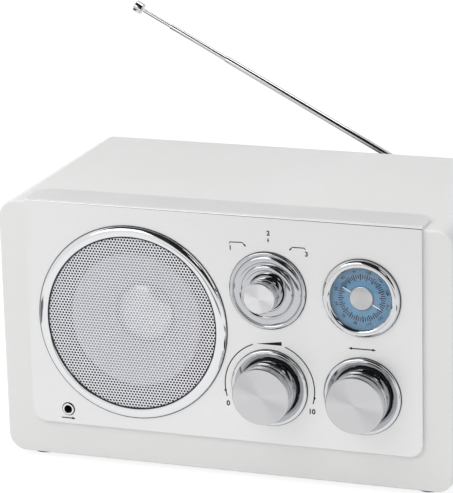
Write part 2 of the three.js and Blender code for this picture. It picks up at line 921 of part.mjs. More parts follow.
// Slightly tapered knob of the wave selector.
function selectorKnob() {
  const front = capThickness - selectorFace;
  const web = front + knobFaceplate;
  return turned([
    [0, front],
    [selectorFaceRadius, front],
    [selectorBaseRadius, -selectorBack],
    [selectorBaseRadius - selectorShell, -selectorBack],
    [selectorFaceRadius - selectorShell, web],
    [selectorHubRadius, web],
    [selectorHubRadius, -selectorBack],
    [shaftHoleRadius, -selectorBack],
    [shaftHoleRadius, web],
    [0, web],
  ]);
}

function shaft(face, back) {
  const front = capThickness - face + knobFaceplate + shaftTipGap;
  return disc(shaftRadius, front, back, smallFacets);
}

// Threaded neck through the board, round a shaft.
function bushing(back) {
  return ring(bushingRadius, shaftHoleRadius, boardFront - bushingLength, back, smallFacets);
}

function terminals(bodyRadius) {
  const half = terminalWidth / 2;
  const bottom = -bodyRadius - terminalDrop;
  return block(-half, half, boardBack, boardBack + terminalThickness, bottom, 0);
}

// Body with its terminals and neck, bored for the shaft and closed behind.
function controlBody(can, bodyRadius, depth) {
  const bore = disc(shaftHoleRadius, boardBack - 1, boardBack + depth - bodyFloor, smallFacets);
  return join(cut(join(can, terminals(bodyRadius)), bore), bushing(boardBack + 1));
}

function volumePotentiometer() {
  return controlBody(disc(potRadius, boardBack, boardBack + potDepth), potRadius, potDepth);
}

function waveSwitch() {
  const outline = new THREE.Shape(regularPolygon(switchRadius, switchSides));
  return controlBody(slab(outline, boardBack, boardBack + switchDepth), switchRadius, switchDepth);
}

const selectorShaftBack = boardBack + switchDepth - bodyFloor - shaftTipGap;
const volumeShaftBack = boardBack + potDepth - bodyFloor - shaftTipGap;

function selectorPieces() {
  return [
    piece('selector_trim_ring', selectorTrim(), 'chrome'),
    piece('selector_knob', selectorKnob(), 'chrome'),
    piece('selector_knob_cap', knobCap(selectorFaceRadius, selectorFace), 'spunAluminium'),
    piece('selector_shaft', shaft(selectorFace, selectorShaftBack), 'steelSheet'),
    piece('wave_switch', waveSwitch(), 'steelSheet'),
  ];
}

function volumePieces() {
  return [
    piece('volume_trim_ring', knobTrim(), 'chrome'),
    piece('volume_knob', largeKnob(), 'chrome'),
    piece('volume_knob_cap', knobCap(knobRadius, knobFace), 'spunAluminium'),
    piece('volume_shaft', shaft(knobFace, volumeShaftBack), 'steelSheet'),
    piece('volume_potentiometer', volumePotentiometer(), 'steelSheet'),
  ];
}

// ---------------------------------------------------------------------------
// Tuning gears
// ---------------------------------------------------------------------------

const pinionRadius = (pinionTeeth * gearModule) / 2;
const idlerTeeth = Math.ceil((controlRowPitch - pinionRadius - dialGearRadius) / gearModule);
const idlerRadius = (idlerTeeth * gearModule) / 2;

// The idler meshes with both gears, so its centre is the top of a triangle on their centre line.
function idlerPlace() {
  const toPinion = pinionRadius + idlerRadius;
  const toDialGear = dialGearRadius + idlerRadius;
  const rise = (toPinion ** 2 - toDialGear ** 2 + controlRowPitch ** 2) / (2 * controlRowPitch);
  const sideways = Math.sqrt(toPinion ** 2 - rise ** 2);
  return [-sideways, rise];
}

// Turn of the second gear that puts its tooth space on the first gear's tooth; angle is the
// direction from the first gear's centre to the second's.
function meshedTurn(angle, firstTeeth, firstTurn, secondTeeth) {
  const phase = firstTeeth * (angle - firstTurn);
  return angle + Math.PI - (Math.PI - phase) / secondTeeth;
}

// Outline of a spur gear with involute flanks, one tooth pointing along the angle "turn".
function gearOutline(teeth, turn) {
  const pitch = (teeth * gearModule) / 2;
  const base = pitch * Math.cos(THREE.MathUtils.degToRad(pressureAngle));
  const tip = pitch + gearModule * toothAddendum;
  const root = pitch - gearModule * toothDedendum;
  const flankAngle = (radius) => {
    const roll = Math.acos(Math.min(1, base / radius));
    return Math.tan(roll) - roll;
  };
  const halfAtPitch = (Math.PI * gearModule) / 4 / pitch - backlash / 2 / pitch + flankAngle(pitch);
  const start = Math.max(base, root);
  const flank = [start, tip];
  const points = [];
  for (let tooth = 0; tooth < teeth; tooth++) {
    const middle = turn + (tooth * 2 * Math.PI) / teeth;
    const add = (radius, side) => {
      const angle = middle + side * (halfAtPitch - flankAngle(radius));
      points.push(new THREE.Vector2(radius * Math.cos(angle), radius * Math.sin(angle)));
    };
    if (root < start) add(root, -1);
    for (const radius of flank) add(radius, -1);
    for (const radius of [...flank].reverse()) add(radius, 1);
    if (root < start) add(root, 1);
  }
  return new THREE.Shape(points);
}

function gear(teeth, turn, bore, front, back) {
  const blank = slab(gearOutline(teeth, turn), front, back);
  return cut(blank, disc(bore, front - 1, back + 1, smallFacets));
}

const [idlerX, idlerZ] = idlerPlace();
const toIdler = Math.atan2(idlerZ, idlerX);
const idlerToDial = Math.atan2(controlRowPitch - idlerZ, -idlerX);
const idlerTurn = meshedTurn(toIdler, pinionTeeth, 0, idlerTeeth);
const dialGearTurn = meshedTurn(idlerToDial, idlerTeeth, idlerTurn, dialGearTeeth);
const gearBack = gearFront + gearThickness;
const plateFront = boardFront - gearPlateThickness;
const clipBack = gearFront - runningGap;
const clipFront = clipBack - clipThickness;

// Steel plate on the board: bushing for the tuning shaft, riveted stud for the idler,
// plain hole for the dial spindle. Drawn round the tuning shaft.
function gearPlate() {
  const margin = bushingRadius + gearPlateMargin;
  const outline = roundedRectangle(
    idlerX - margin,
    margin,
    -margin,
    controlRowPitch + margin,
    gearPlateCorner,
  );
  const sheet = slab(outline, plateFront, boardFront, smallCornerFacets);
  const neck = ring(bushingRadius, shaftHoleRadius, boardFront - bushingLength, boardFront, smallFacets);
  const stud = turned([
    [0, clipFront - studHead],
    [studRadius, clipFront - studHead],
    [studRadius, clipFront],
    [studGrooveRadius, clipFront],
    [studGrooveRadius, clipBack],
    [studRadius, clipBack],
    [studRadius, gearBack + runningGap],
    [studShoulderRadius, gearBack + runningGap],
    [studShoulderRadius, boardFront],
    [0, boardFront],
  ], smallFacets);
  const shaftHole = disc(shaftHoleRadius, plateFront - 1, boardFront + 1, smallFacets);
  const spindleHole = disc(spindleHoleRadius, plateFront - 1, boardFront + 1, smallFacets);
  const plain = cut(sheet, shaftHole, moved(spindleHole, 0, 0, controlRowPitch));
  return join(plain, neck, moved(stud, idlerX, 0, idlerZ));
}

// Spring clip in the stud's groove that keeps the idler on, open on the side away from the pinion.
function idlerClip() {
  const flat = ring(clipRadius, studGrooveRadius + fitGap, clipFront, clipBack, smallFacets);
  const half = clipMouth / 2;
  return cut(flat, block(-half, half, clipFront - 1, clipBack + 1, 0, clipRadius + 1));
}

function idlerGear() {
  return gear(idlerTeeth, idlerTurn, studRadius + runningGap, gearFront, gearBack);
}

function tuningPieces() {
  const pinionFront = gearFront - pinionOverhang;
  const pinion = gear(pinionTeeth, 0, shaftHoleRadius, pinionFront, pinionFront + pinionThickness);
  return [
    piece('tuning_trim_ring', knobTrim(), 'chrome'),
    piece('tuning_knob', largeKnob(), 'chrome'),
    piece('tuning_knob_cap', knobCap(knobRadius, knobFace), 'spunAluminium'),
    piece('tuning_shaft', shaft(knobFace, boardBack + shaftOverrun), 'steelSheet'),
    piece('tuning_pinion', pinion, 'gearPlastic'),
    piece('gear_plate', gearPlate(), 'steelSheet'),
    groupAt(
      idlerX,
      0,
      idlerZ,
      piece('idler_gear', idlerGear(), 'gearPlastic'),
      piece('idler_clip', idlerClip(), 'steelSheet'),
    ),
  ];
}

// ---------------------------------------------------------------------------
// Tuning dial, round its spindle
// ---------------------------------------------------------------------------

const lensRadius = lensSeat - fitGap;
const capacitorBack = boardBack + capacitorDepth;

function dialLens() {
  return disc(lensRadius, lensFront, lensFront + lensThickness);
}

// Shallow cup: the printed face, and a rim that stands it off the panel's back.
function dialScale() {
  const back = scaleFront + scaleThickness;
  return turned([
    [spindleHoleRadius, scaleFront],
    [lensRadius, scaleFront],
    [lensRadius, 0],
    [lensRadius - scaleRim, 0],
    [lensRadius - scaleRim, back],
    [spindleHoleRadius, back],
  ]);
}

// Spun disc on the end of the spindle that the gear and the tuning capacitor turn with.
function dialHub() {
  const spindleBack = capacitorBack - capacitorFloor - shaftTipGap;
  return turned([
    [0, dialHubFront],
    [dialHubRadius, dialHubFront],
    [dialHubRadius, pointerFront],
    [dialHubBossRadius, pointerFront],
    [dialHubBossRadius, pointerBack],
    [spindleRadius, pointerBack],
    [spindleRadius, spindleBack],
    [0, spindleBack],
  ], hiddenFacets);
}

// Two-ended needle whose collar sits on the hub's boss, behind the disc.
function dialPointer() {
  const half = pointerLength / 2;
  const needle = block(-half, half, pointerFront, pointerBack, -pointerWidth / 2, pointerWidth / 2);
  const collar = disc(pointerCollarRadius, pointerFront, pointerBack, hiddenFacets);
  const bore = disc(dialHubBossRadius + fitGap, pointerFront - 1, pointerBack + 1, hiddenFacets);
  return cut(join(needle, collar), bore).rotate([0, pointerAngle, 0]);
}

function dialGear() {
  const wheel = gear(dialGearTeeth, dialGearTurn, spindleHoleRadius, gearFront, gearBack);
  const hubRadius = spindleHoleRadius + dialGearHubWall - runningGap;
  const hub = ring(hubRadius, spindleHoleRadius, gearBack, plateFront - runningGap, smallFacets);
  return join(wheel, hub);
}

function tuningCapacitor() {
  const half = capacitorSize / 2;
  const body = block(-half, half, boardBack, capacitorBack, -half, half);
  const boreBack = capacitorBack - capacitorFloor;
  return cut(body, disc(spindleHoleRadius, boardBack - 1, boreBack, smallFacets));
}

function dialPieces() {
  return [
    piece('dial_trim_ring', dialTrim(), 'chrome'),
    piece('dial_lens', dialLens(), 'clearPlastic'),
    piece('dial_scale', dialScale(), 'blueScale'),
    piece('dial_pointer', dialPointer(), 'whitePlastic'),
    piece('dial_hub', dialHub(), 'spunAluminium'),
    piece('dial_gear', dialGear(), 'gearPlastic'),
    piece('tuning_capacitor', tuningCapacitor(), 'clearPlastic'),
  ];
}

// ---------------------------------------------------------------------------
// Board, socket, aerial and transformer
// ---------------------------------------------------------------------------

function mainBoard() {
  const outline = roundedRectangle(boardLeft, boardRight, boardBottom, boardTop, boardCorner);
  const sheet = slab(outline, boardFront, boardBack, smallCornerFacets);
  const bushingHole = disc(bushingRadius + fitGap, boardFront - 1, boardBack + 1, smallFacets);
  const shaftHole = disc(shaftHoleRadius + fitGap, boardFront - 1, boardBack + 1, smallFacets);
  const spindleHole = disc(spindleHoleRadius + fitGap, boardFront - 1, boardBack + 1, smallFacets);
  const middleX = (leftControlX + rightControlX) / 2;
  const middleZ = (upperControlZ + lowerControlZ) / 2;
  const cans = [-1, 0, 1].map((step) => {
    const x = middleX + step * (canSize + canGap);
    const half = canSize / 2;
    return block(x - half, x + half, boardBack, boardBack + canHeight, middleZ - half, middleZ + half);
  });
  const chipZ = boardBottom + chipWidth;
  const chip = block(
    middleX - chipLength / 2,
    middleX + chipLength / 2,
    boardBack,
    boardBack + chipHeight,
    chipZ - chipWidth / 2,
    chipZ + chipWidth / 2,
  );
  const holes = [
    moved(bushingHole, leftControlX, 0, upperControlZ),
    moved(bushingHole, leftControlX, 0, lowerControlZ),
    moved(shaftHole, rightControlX, 0, lowerControlZ),
    moved(spindleHole, rightControlX, 0, upperControlZ),
  ];
  return cut(join(sheet, ...cans, chip), ...holes);
}

// Switched socket behind the front wall, with its sleeve through the wall and the panel.
function jackSocket() {
  const body = block(
    -jackBodyWidth / 2,
    jackBodyWidth / 2,
    frontWall,
    frontWall + jackBodyDepth,
    -jackBodyHeight / 2,
    jackBodyHeight / 2,
  );
  const sleeve = disc(jackSleeveRadius, panelFront, frontWall + 1, smallFacets);
  const bore = disc(jackBore, panelFront - 1, frontWall + jackBodyDepth - bodyFloor, smallFacets);
  return cut(join(body, sleeve), bore);
}

function jackRing() {
  const front = panelFront - jackRingHeight;
  return turned(
    [
      [jackBore, panelFront],
      [jackBore, front + jackRingRound],
      [jackBore + jackRingRound, front],
      [jackRingRadius - jackRingRound, front],
      [jackRingRadius, front + jackRingRound],
      [jackRingRadius, panelFront],
    ],
    smallFacets,
  );
}

function ferriteRod() {
  return peg(ferriteRadius, -ferriteLength / 2, ferriteLength / 2).rotate([0, 90, 0]);
}

function ferriteCoil() {
  const inner = ferriteRadius + fitGap;
  const half = ferriteCoilLength / 2;
  return turnedUpright([
    [inner, -half],
    [inner + ferriteCoilThickness, -half],
    [inner + ferriteCoilThickness, half],
    [inner, half],
  ]).rotate([0, 90, 0]);
}

// Two split collars that hang the rod from a strip glued under the top.
function ferriteHolder() {
  const inner = ferriteRadius + fitGap;
  const collar = turnedUpright([
    [inner, -holderWidth / 2],
    [inner + holderWall, -holderWidth / 2],
    [inner + holderWall, holderWidth / 2],
    [inner, holderWidth / 2],
  ]).rotate([0, 90, 0]);
  const stem = block(
    -holderWidth / 2,
    holderWidth / 2,
    -holderWall,
    holderWall,
    inner + holderWall / 2,
    ferriteDrop,
  );
  const reach = (holderSpan + holderWidth) / 2;
  const strip = block(-reach, reach, -holderWidth, holderWidth, ferriteDrop - holderWall, ferriteDrop);
  const hangers = [-1, 1].map((side) => moved(join(collar, stem), (side * holderSpan) / 2, 0, 0));
  return join(strip, ...hangers);
}

// Laminated iron core on two feet, drawn from the middle of its underside.
function transformerCore() {
  const half = coreWidth / 2;
  const opening = (coreWidth - 2 * coreLeg - coreCentreLeg) / 2;
  const stack = coreStack / 2;
  const iron = block(-half, half, -stack, stack, 0, coreHeight);
  const holes = [-1, 1].map((side) => {
    const middle = side * (coreCentreLeg + opening) / 2;
    const left = middle - opening / 2;
    return block(left, left + opening, -stack - 1, stack + 1, coreLeg, coreHeight - coreLeg);
  });
  const feet = block(-half - coreFoot, half + coreFoot, -stack, stack, 0, coreFootThickness);
  return cut(join(iron, feet), ...holes);
}

const windingDepth = coreStack / 2 + windingOverhang;
const transformerY = inletFloor - inletWall - transformerGap - windingDepth;

function transformerWinding() {
  const opening = (coreWidth - 2 * coreLeg - coreCentreLeg) / 2;
  const outer = coreCentreLeg / 2 + opening - fitGap;
  const legHalf = coreCentreLeg / 2 + fitGap;
  const stack = coreStack / 2 + fitGap;
  const bottom = coreLeg + fitGap;
  const top = coreHeight - coreLeg - fitGap;
  const outline = roundedRectangle(-outer, outer, -windingDepth, windingDepth, windingCorner);
  const turns = plate(outline, bottom, top, smallCornerFacets);
  return cut(turns, block(-legHalf, legHalf, -stack, stack, bottom - 1, top + 1));
}

// ---------------------------------------------------------------------------
// Back cover, screws and mains inlet
// ---------------------------------------------------------------------------

function backCover() {
  const side = interiorHalfWidth + rebateLedge - fitGap;
  const low = cabinetWall - rebateLedge + fitGap;
  const high = interiorTop + rebateLedge - fitGap;
  const outline = roundedRectangle(-side, side, low, high, coverCorner);
  const sheet = slab(outline, coverFront, cabinetDepth, smallCornerFacets);
  const half = slotWidth / 2;
  const slot = slab(
    roundedRectangle(-half, half, -slotHeight / 2, slotHeight / 2, half - hairline),
    coverFront - 1,
    cabinetDepth + 1,
    smallCornerFacets,
  );
  const slots = [];
  for (const group of [-slotGroupX, slotGroupX]) {
    for (let i = 0; i < slotCount; i++) {
      const x = group + (i - (slotCount - 1) / 2) * slotPitch;
      slots.push(moved(slot, x, 0, cabinetHeight - slotGroupDrop));
    }
  }
  const screwHole = disc(screwRadius + fitGap, coverFront - 1, cabinetDepth + 1, tubeFacets);
  const screwHoles = screwPlaces().map(([x, z]) => moved(screwHole, x, 0, z));
  const inletHole = slab(inletBodyOutline(fitGap), coverFront - 1, cabinetDepth + 1, smallCornerFacets);
  const studHole = disc(antennaStudRadius + fitGap, coverFront - 1, cabinetDepth + 1, tubeFacets);
  return cut(
    sheet,
    ...slots,
    ...screwHoles,
    moved(inletHole, inletX, 0, inletZ),
    moved(studHole, antennaX, 0, antennaZ),
  );
}

// Pan-head screw through the cover into the cabinet's ledge.
function coverScrew() {
  const tip = cabinetDepth - screwLength;
  return turned([
    [0, tip],
    [screwTipRadius, tip],
    [screwRadius, tip + screwTipLength],
    [screwRadius, cabinetDepth],
    [screwHeadRadius, cabinetDepth],
    [screwHeadRadius, cabinetDepth + screwHeadHeight / 2],
    [screwHeadTopRadius, cabinetDepth + screwHeadHeight],
    [0, cabinetDepth + screwHeadHeight],
  ], tubeFacets);
}

function inletBodyOutline(extra) {
  const across = inletCavityWidth / 2 + inletWall + extra;
  const up = inletCavityHeight / 2 + inletWall + extra;
  return roundedRectangle(-across, across, -up, up, inletCorner);
}

// Two-pin figure-of-eight inlet: flange, hollow body and pins in one moulding.
function mainsInlet() {
  const across = inletFlangeWidth / 2;
  const up = inletFlangeHeight / 2;
  const flange = slab(
    roundedRectangle(-across, across, -up, up, inletCorner),
    cabinetDepth,
    inletMouth,
    smallCornerFacets,
  );
  const body = slab(
    inletBodyOutline(0),
    inletFloor - inletWall,
    inletMouth,
    smallCornerFacets,
  );
  const half = inletCavityHeight / 2;
  const cavity = slab(
    roundedRectangle(-inletCavityWidth / 2, inletCavityWidth / 2, -half, half, half - hairline),
    inletFloor,
    inletMouth + 1,
    cornerFacets - smallCornerFacets,
  );
  const pin = disc(inletPinRadius, inletFloor - 1, inletFloor + inletPinLength, tubeFacets);
  const pins = [-1, 1].map((side) => moved(pin, (side * inletPinSpacing) / 2, 0, 0));
  return join(cut(join(flange, body), cavity), ...pins);
}

// ---------------------------------------------------------------------------
// Telescopic antenna. Everything but the base is drawn upright, with the hinge at the origin
// and the cabinet's back on the side of smaller depth, and the group is then leaned over.
// ---------------------------------------------------------------------------

const mastAxis = cabinetDepth + mastStandoff;
const discBack = antennaBaseHeight + runningGap - mastStandoff;
const outerBore = outerTubeRadius - tubeWall;
const middleRadius = outerBore - slidingGap;
const middleBore = middleRadius - tubeWall;
const innerRadius = middleBore - slidingGap;
const middleEnd = outerTubeEnd + middleTubeShows;
const innerEnd = middleEnd + innerRodShows;

// Round foot on the cover, with a rivet stud that reaches through it.
function antennaBase() {
  const back = cabinetDepth + antennaBaseHeight;
  const foot = disc(antennaBaseRadius, cabinetDepth, back, hiddenFacets);
  const stud = disc(antennaStudRadius, coverFront - antennaStudTail, back, tubeFacets);
  return join(foot, stud);
}

// Turning disc with two cheeks and the hinge pin riveted through them.
function antennaSwivel() {
  const front = discBack;
  const plateBack = front + swivelDiscHeight;
  const turntable = disc(swivelRadius, front, plateBack, hiddenFacets);
  const inner = eyeThickness / 2 + runningGap;
  const cheekShape = new THREE.Shape();
  const half = cheekLength / 2;
  const cheekRoot = plateBack - swivelDiscHeight / 3;
  cheekShape.moveTo(cheekRoot, -half);
  cheekShape.lineTo(0, -eyeRadius);
  cheekShape.absarc(0, 0, eyeRadius, -Math.PI / 2, Math.PI / 2);
  cheekShape.lineTo(cheekRoot, half);
  const cheeks = [-1, 1].map((side) => {
    const near = side * inner;
    const far = side * (inner + cheekThickness);
    return bar(cheekShape, Math.min(near, far), Math.max(near, far));
  });
  const reach = inner + cheekThickness + hingePinHead;
  const pin = peg(hingePinRadius, -reach, reach, tubeFacets).rotate([0, 90, 0]);
  return join(turntable, ...cheeks, pin);
}

// Outer tube, with a flattened eye at its foot that turns on the hinge pin.
function antennaOuterTube() {
  const half = eyeThickness / 2;
  const eyeShape = new THREE.Shape();
  eyeShape.absarc(0, 0, eyeRadius, Math.PI, 2 * Math.PI);
  eyeShape.lineTo(outerTubeRadius, outerTubeStart + tubeFloor / 2);
  eyeShape.lineTo(-outerTubeRadius, outerTubeStart + tubeFloor / 2);
  const eye = cut(
    bar(eyeShape, -half, half),
    peg(hingePinRadius + runningGap, -half - 1, half + 1, tubeFacets).rotate([0, 90, 0]),
  );
  const tube = turnedUpright([
    [0, outerTubeStart],
    [outerTubeRadius, outerTubeStart],
    [outerTubeRadius, outerTubeEnd],
    [outerBore, outerTubeEnd],
    [outerBore, outerTubeStart + tubeFloor],
    [0, outerTubeStart + tubeFloor],
  ], tubeFacets);
  return join(tube, eye);
}

function antennaMiddleTube() {
  const bottom = middleEnd - middleTubeLength;
  return turnedUpright([
    [middleBore, bottom],
    [middleRadius, bottom],
    [middleRadius, middleEnd],
    [middleBore, middleEnd],
  ], tubeFacets);
}

function antennaInnerRod() {
  return peg(innerRadius, innerEnd - innerRodLength, innerEnd, tubeFacets);
}

function antennaTip() {
  const bottom = innerEnd + fitGap;
  const top = innerEnd + tipLength;
  return turnedUpright([
    [0, bottom],
    [tipRadius - tipRound, bottom],
    [tipRadius, bottom + tipRound],
    [tipRadius, top - tipRound],
    [tipRadius - tipRound, top],
    [0, top],
  ]);
}

function antenna() {
  const mast = groupAt(
    antennaX,
    mastAxis,
    antennaZ,
    piece('antenna_swivel', antennaSwivel(), 'chrome'),
    piece('antenna_outer_tube', antennaOuterTube(), 'chrome'),
    piece('antenna_middle_tube', antennaMiddleTube(), 'chrome'),
    piece('antenna_inner_rod', antennaInnerRod(), 'chrome'),
    piece('antenna_tip', antennaTip(), 'chrome'),
  );
  mast.rotation.y = -THREE.MathUtils.degToRad(antennaLean);
  return mast;
}

// ---------------------------------------------------------------------------
// Assembly
// ---------------------------------------------------------------------------

function feet() {
  const pieces = [];
  for (const [side, x] of [['left', footInsetAcross - halfWidth], ['right', halfWidth - footInsetAcross]]) {
    for (const [end, y] of [['front', footInsetAlong], ['back', cabinetDepth - footInsetAlong]]) {
      pieces.push(groupAt(x, y, 0, piece(`foot_${end}_${side}`, foot(), 'rubber')));
    }
  }
  return pieces;
}

function coverScrews() {
  return screwPlaces().map(([x, z]) => {
    const name = `cover_screw_${z > cabinetHeight / 2 ? 'top' : 'bottom'}_${x < 0 ? 'left' : 'right'}`;
    return groupAt(x, 0, z, piece(name, coverScrew(), 'steelSheet'));
  });
}

const tipReach = mastAxis + tipRadius;
const middleOfDepth = (tipReach - knobFace) / 2;

const radio = groupAt(
  0,
  -middleOfDepth,
  footHeight,
  piece('cabinet', cabinet(), 'whiteLacquer'),
  piece('front_panel', frontPanel(), 'silverPlastic'),
  groupAt(speakerX, 0, speakerZ, ...speakerPieces()),
  groupAt(leftControlX, 0, upperControlZ, ...selectorPieces()),
  groupAt(leftControlX, 0, lowerControlZ, ...volumePieces()),
  groupAt(rightControlX, 0, lowerControlZ, ...tuningPieces()),
  groupAt(rightControlX, 0, upperControlZ, ...dialPieces()),
  piece('main_board', mainBoard(), 'circuitBoard'),
  groupAt(
    jackX,
    0,
    jackZ,
    piece('aux_socket', jackSocket(), 'blackPlastic'),
    piece('aux_ring', jackRing(), 'chrome'),
  ),
  groupAt(
    ferriteX,
    ferriteY,
    interiorTop - ferriteDrop,
    piece('ferrite_rod', ferriteRod(), 'ferrite'),
    piece('ferrite_coil', ferriteCoil(), 'copperWire'),
    piece('ferrite_holder', ferriteHolder(), 'whitePlastic'),
  ),
  groupAt(
    inletX,
    transformerY,
    cabinetWall,
    piece('transformer_core', transformerCore(), 'steelSheet'),
    piece('transformer_winding', transformerWinding(), 'copperWire'),
  ),
  piece('back_cover', backCover(), 'blackPlastic'),
  groupAt(inletX, 0, inletZ, piece('mains_inlet', mainsInlet(), 'blackPlastic')),
  groupAt(antennaX, 0, antennaZ, piece('antenna_base', antennaBase(), 'blackPlastic')),
  antenna(),
  ...coverScrews(),
  ...feet(),
);

const root = new THREE.Group();
root.add(radio);

export default root;
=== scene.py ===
"""Looks of the tabletop radio: finishes, smooth turned parts, fine grille, printing and studio."""

import math

import bmesh
import bpy
from mathutils import Matrix, Vector


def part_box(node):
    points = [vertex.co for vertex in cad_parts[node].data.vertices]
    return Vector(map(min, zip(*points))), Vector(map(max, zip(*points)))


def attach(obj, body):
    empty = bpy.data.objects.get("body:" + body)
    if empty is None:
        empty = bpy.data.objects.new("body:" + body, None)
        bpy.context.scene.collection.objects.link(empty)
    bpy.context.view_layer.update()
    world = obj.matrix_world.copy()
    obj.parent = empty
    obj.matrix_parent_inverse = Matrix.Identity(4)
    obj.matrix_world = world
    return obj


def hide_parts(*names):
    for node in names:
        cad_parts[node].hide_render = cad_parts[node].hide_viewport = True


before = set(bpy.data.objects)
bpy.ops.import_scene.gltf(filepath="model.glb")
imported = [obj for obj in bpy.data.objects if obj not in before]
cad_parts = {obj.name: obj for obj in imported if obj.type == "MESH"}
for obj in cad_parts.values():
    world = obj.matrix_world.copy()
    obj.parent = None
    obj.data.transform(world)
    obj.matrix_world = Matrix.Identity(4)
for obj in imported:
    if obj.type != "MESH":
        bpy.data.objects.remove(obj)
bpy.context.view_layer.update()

MM = 0.001


# ---- What the CAD parts give ----


def middle(node):
    low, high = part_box(node)
    return (low + high) / 2


def radius(node):
    """Largest radius of a turned CAD node, in millimetres."""
    low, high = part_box(node)
    return (high.x - low.x) / 2 / MM


def depth(node):
    """First and last depth of a CAD node, in millimetres from the cabinet's front face."""
    low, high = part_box(node)
    return (low.y - FRONT) / MM, (high.y - FRONT) / MM


def sizes(node):
    """Radius, first depth and last depth of a turned CAD node, in millimetres."""
    return (radius(node), *depth(node))


# Places in metres
CABINET_LOW, CABINET_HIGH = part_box("cabinet")
PANEL_LOW, PANEL_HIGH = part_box("front_panel")
COVER_LOW, COVER_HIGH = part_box("back_cover")
FRONT = CABINET_LOW.y
PANEL_FACE = PANEL_LOW.y
CABINET_BACK = (CABINET_HIGH.y - FRONT) / MM

# The antenna's hinge in metres, and the way that the mast leans at rest
HINGE = Vector((middle("antenna_swivel").x, middle("antenna_inner_rod").y, middle("antenna_swivel").z))
MAST_AXIS = (middle("antenna_tip") - HINGE).normalized()
HINGE_AXIS = Vector((0, 1, 0)).cross(MAST_AXIS)
MAST_FRAME = Matrix((HINGE_AXIS, (0, 1, 0), MAST_AXIS)).transposed().to_4x4()
LEAN = Matrix.Translation(HINGE) @ MAST_FRAME

SCREWS = [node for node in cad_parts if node.startswith("cover_screw_")]
FEET = [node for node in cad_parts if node.startswith("foot_")]

# ---- Construction that the CAD parts' boxes don't give, in millimetres ----

# Cabinet: depths between which a cutter goes through its front wall
CABINET_CORNER = 8.2
CABINET_WALL = 9.0
FRONT_WALL = 8.0
LACQUER_EDGE = 0.9
DRIVER_CLEARANCE = 1.3
REBATE_GAP = 0.3
THROUGH_FRONT = (-5, 20)

# Panel: depths between which a cutter goes through it, and its holes' radii and steps
PANEL_THICKNESS = 1.7
PANEL_CORNER = 6.4
FLANGE_CORNER = 7.0
FLANGE_DEPTH = 18.3
FOLD_RADIUS = 0.8
FOLD_GAP_LEFT = 0.03
FOLD_GAP_RIGHT = 0.32
FOLD_GAP_DEPTHS = (-0.5, 0.6)
# Depths of the black strip in the fold's slot, painted shade that darkens it
FOLD_SHADE_STRIP_DEPTHS = (0.12, 0.7)
THROUGH_PANEL = (-9, 1)
SOCKET_HOLE = 3.2
CONTROL_HOLE = 15.7
DIAL_HOLE = 16.2
SPEAKER_HOLE = 42.5
PANEL_HOLES = (
    ("selector_trim_ring", CONTROL_HOLE, 96),
    ("volume_trim_ring", CONTROL_HOLE, 96),
    ("tuning_trim_ring", CONTROL_HOLE, 96),
    ("dial_trim_ring", DIAL_HOLE, 96),
    ("speaker_trim_ring", SPEAKER_HOLE, 144),
    ("aux_ring", SOCKET_HOLE, 32),
)
DRIVER_SEAT = 2.5
BOSS_INSET = 3.4
BOSS_RADIUS = 2.5

# Feet: the recess that the mould leaves
FOOT_RECESS_RADIUS = 2
FOOT_RECESS = 1.2

# Loudspeaker: the roll runs between two radii, and a wall has one thickness
GRILLE_PITCH = 1.45
GRILLE_HOLE = 0.575
GRILLE_SHEET = 0.4
RING_LIP = 0.7
RING_BACK_RADIUS = 42.2
DRIVER_WALL = 0.8
ROLL_OUTSIDE = 39.9
ROLL_INSIDE = 31.8
CONE_NECK = 13.1

# Controls: their rings' skirts go through the panel, and a knob has a collar before its groove
SKIRT = 15.4
DIAL_SKIRT = 15.9
SHADOW_GAP = 0.35
# Black rings in the gap under each chrome ring's edge, painted shade that outlines it: their reach
# past the ring, and their width
SHADE_RING_EDGE = 0.22
SHADE_RING_WIDTH = 1.0
KNOB_GAP = 0.3
KNOB_WALL = 1.6
KNOB_COLLAR = 4
KNOB_HUB = 5.6
SELECTOR_WALL = 1.3
SELECTOR_HUB = 4.4
HUB_BORE = 3.3
WASHERS = (("volume", 13.4), ("tuning", 13.4), ("selector", 8.3))
WASHER_BORE = 3.4
WASHER_DEPTHS = (-0.9, -0.2)
CHAMFER = 0.45

# Dial: its ticks, as inner and outer radius and width, and its two bands
DIAL_OPENING = 14.2
TICKS = 60
LONG_TICK = (8.0, 10.8, 0.58)
SHORT_TICK = (8.7, 10.6, 0.48)
DIAL_TEXT_RADIUS = 11.9
DIAL_TEXT_HEIGHT = 1.2
BANDS = (
    (("88", "92", "96", "100", "104", "108"), 164, -29.6),
    (("54", "70", "90", "110", "135", "160"), 196, 29.6),
)

# Printing on the panel
PRINT_THICKNESS = 0.03
ARC_RADIUS = 21.1
LINE_WIDTH = 0.5
PANEL_TEXT_HEIGHT = 2.3

# Antenna: its turntable as radius and heights, its pin as radius and half length, its tubes' radii,
# and its fork's cheeks and eye across the hinge. Heights are counted from the hinge.
STEM_RADIUS = 2.2
TURNTABLE = (5.38, -4.9, -3.3)
FORK_HALF = 3.85
HINGE_PIN = (0.9, 3.1)
MAST_START = 4.2
BORE_FLOOR = 7.2
OUTER_TUBE = 1.6
MIDDLE_TUBE = 1.24
INNER_ROD = 0.88
TUBE_WALL = 0.22
EYE_RADIUS = 2.5
CHEEKS = ((-2.7, -1.4), (1.4, 2.7))
EYE = (-1.1, 1.1)

# Back cover: depths between which a cutter goes through it, its vent slots, and the inlet's sections
THROUGH_COVER = (112, 130)
SCREW_HOLE = 1.7
SCREW_THREAD = 1.4
SCREW_POINT = 0.6
SCREW_RECESS = Vector((1.5, 0.9, 0.28)) * MM
STEM_HOLE = 2.5
INLET_HOLE = (19.4, 12.8)
INLET_BODY = (18.8, 12.2)
INLET_MOUTH = (14.8, 8.2)
INLET_FLOOR = 2
PIN_SPREAD = 4.3
PIN_RADIUS = 1.2
PIN_LENGTH = 10.5
SLOT_GROUP = 34
SLOT_PITCH = 7
SLOT_DROP = 40.7
SLOT_SIZE = (2.4, 24)

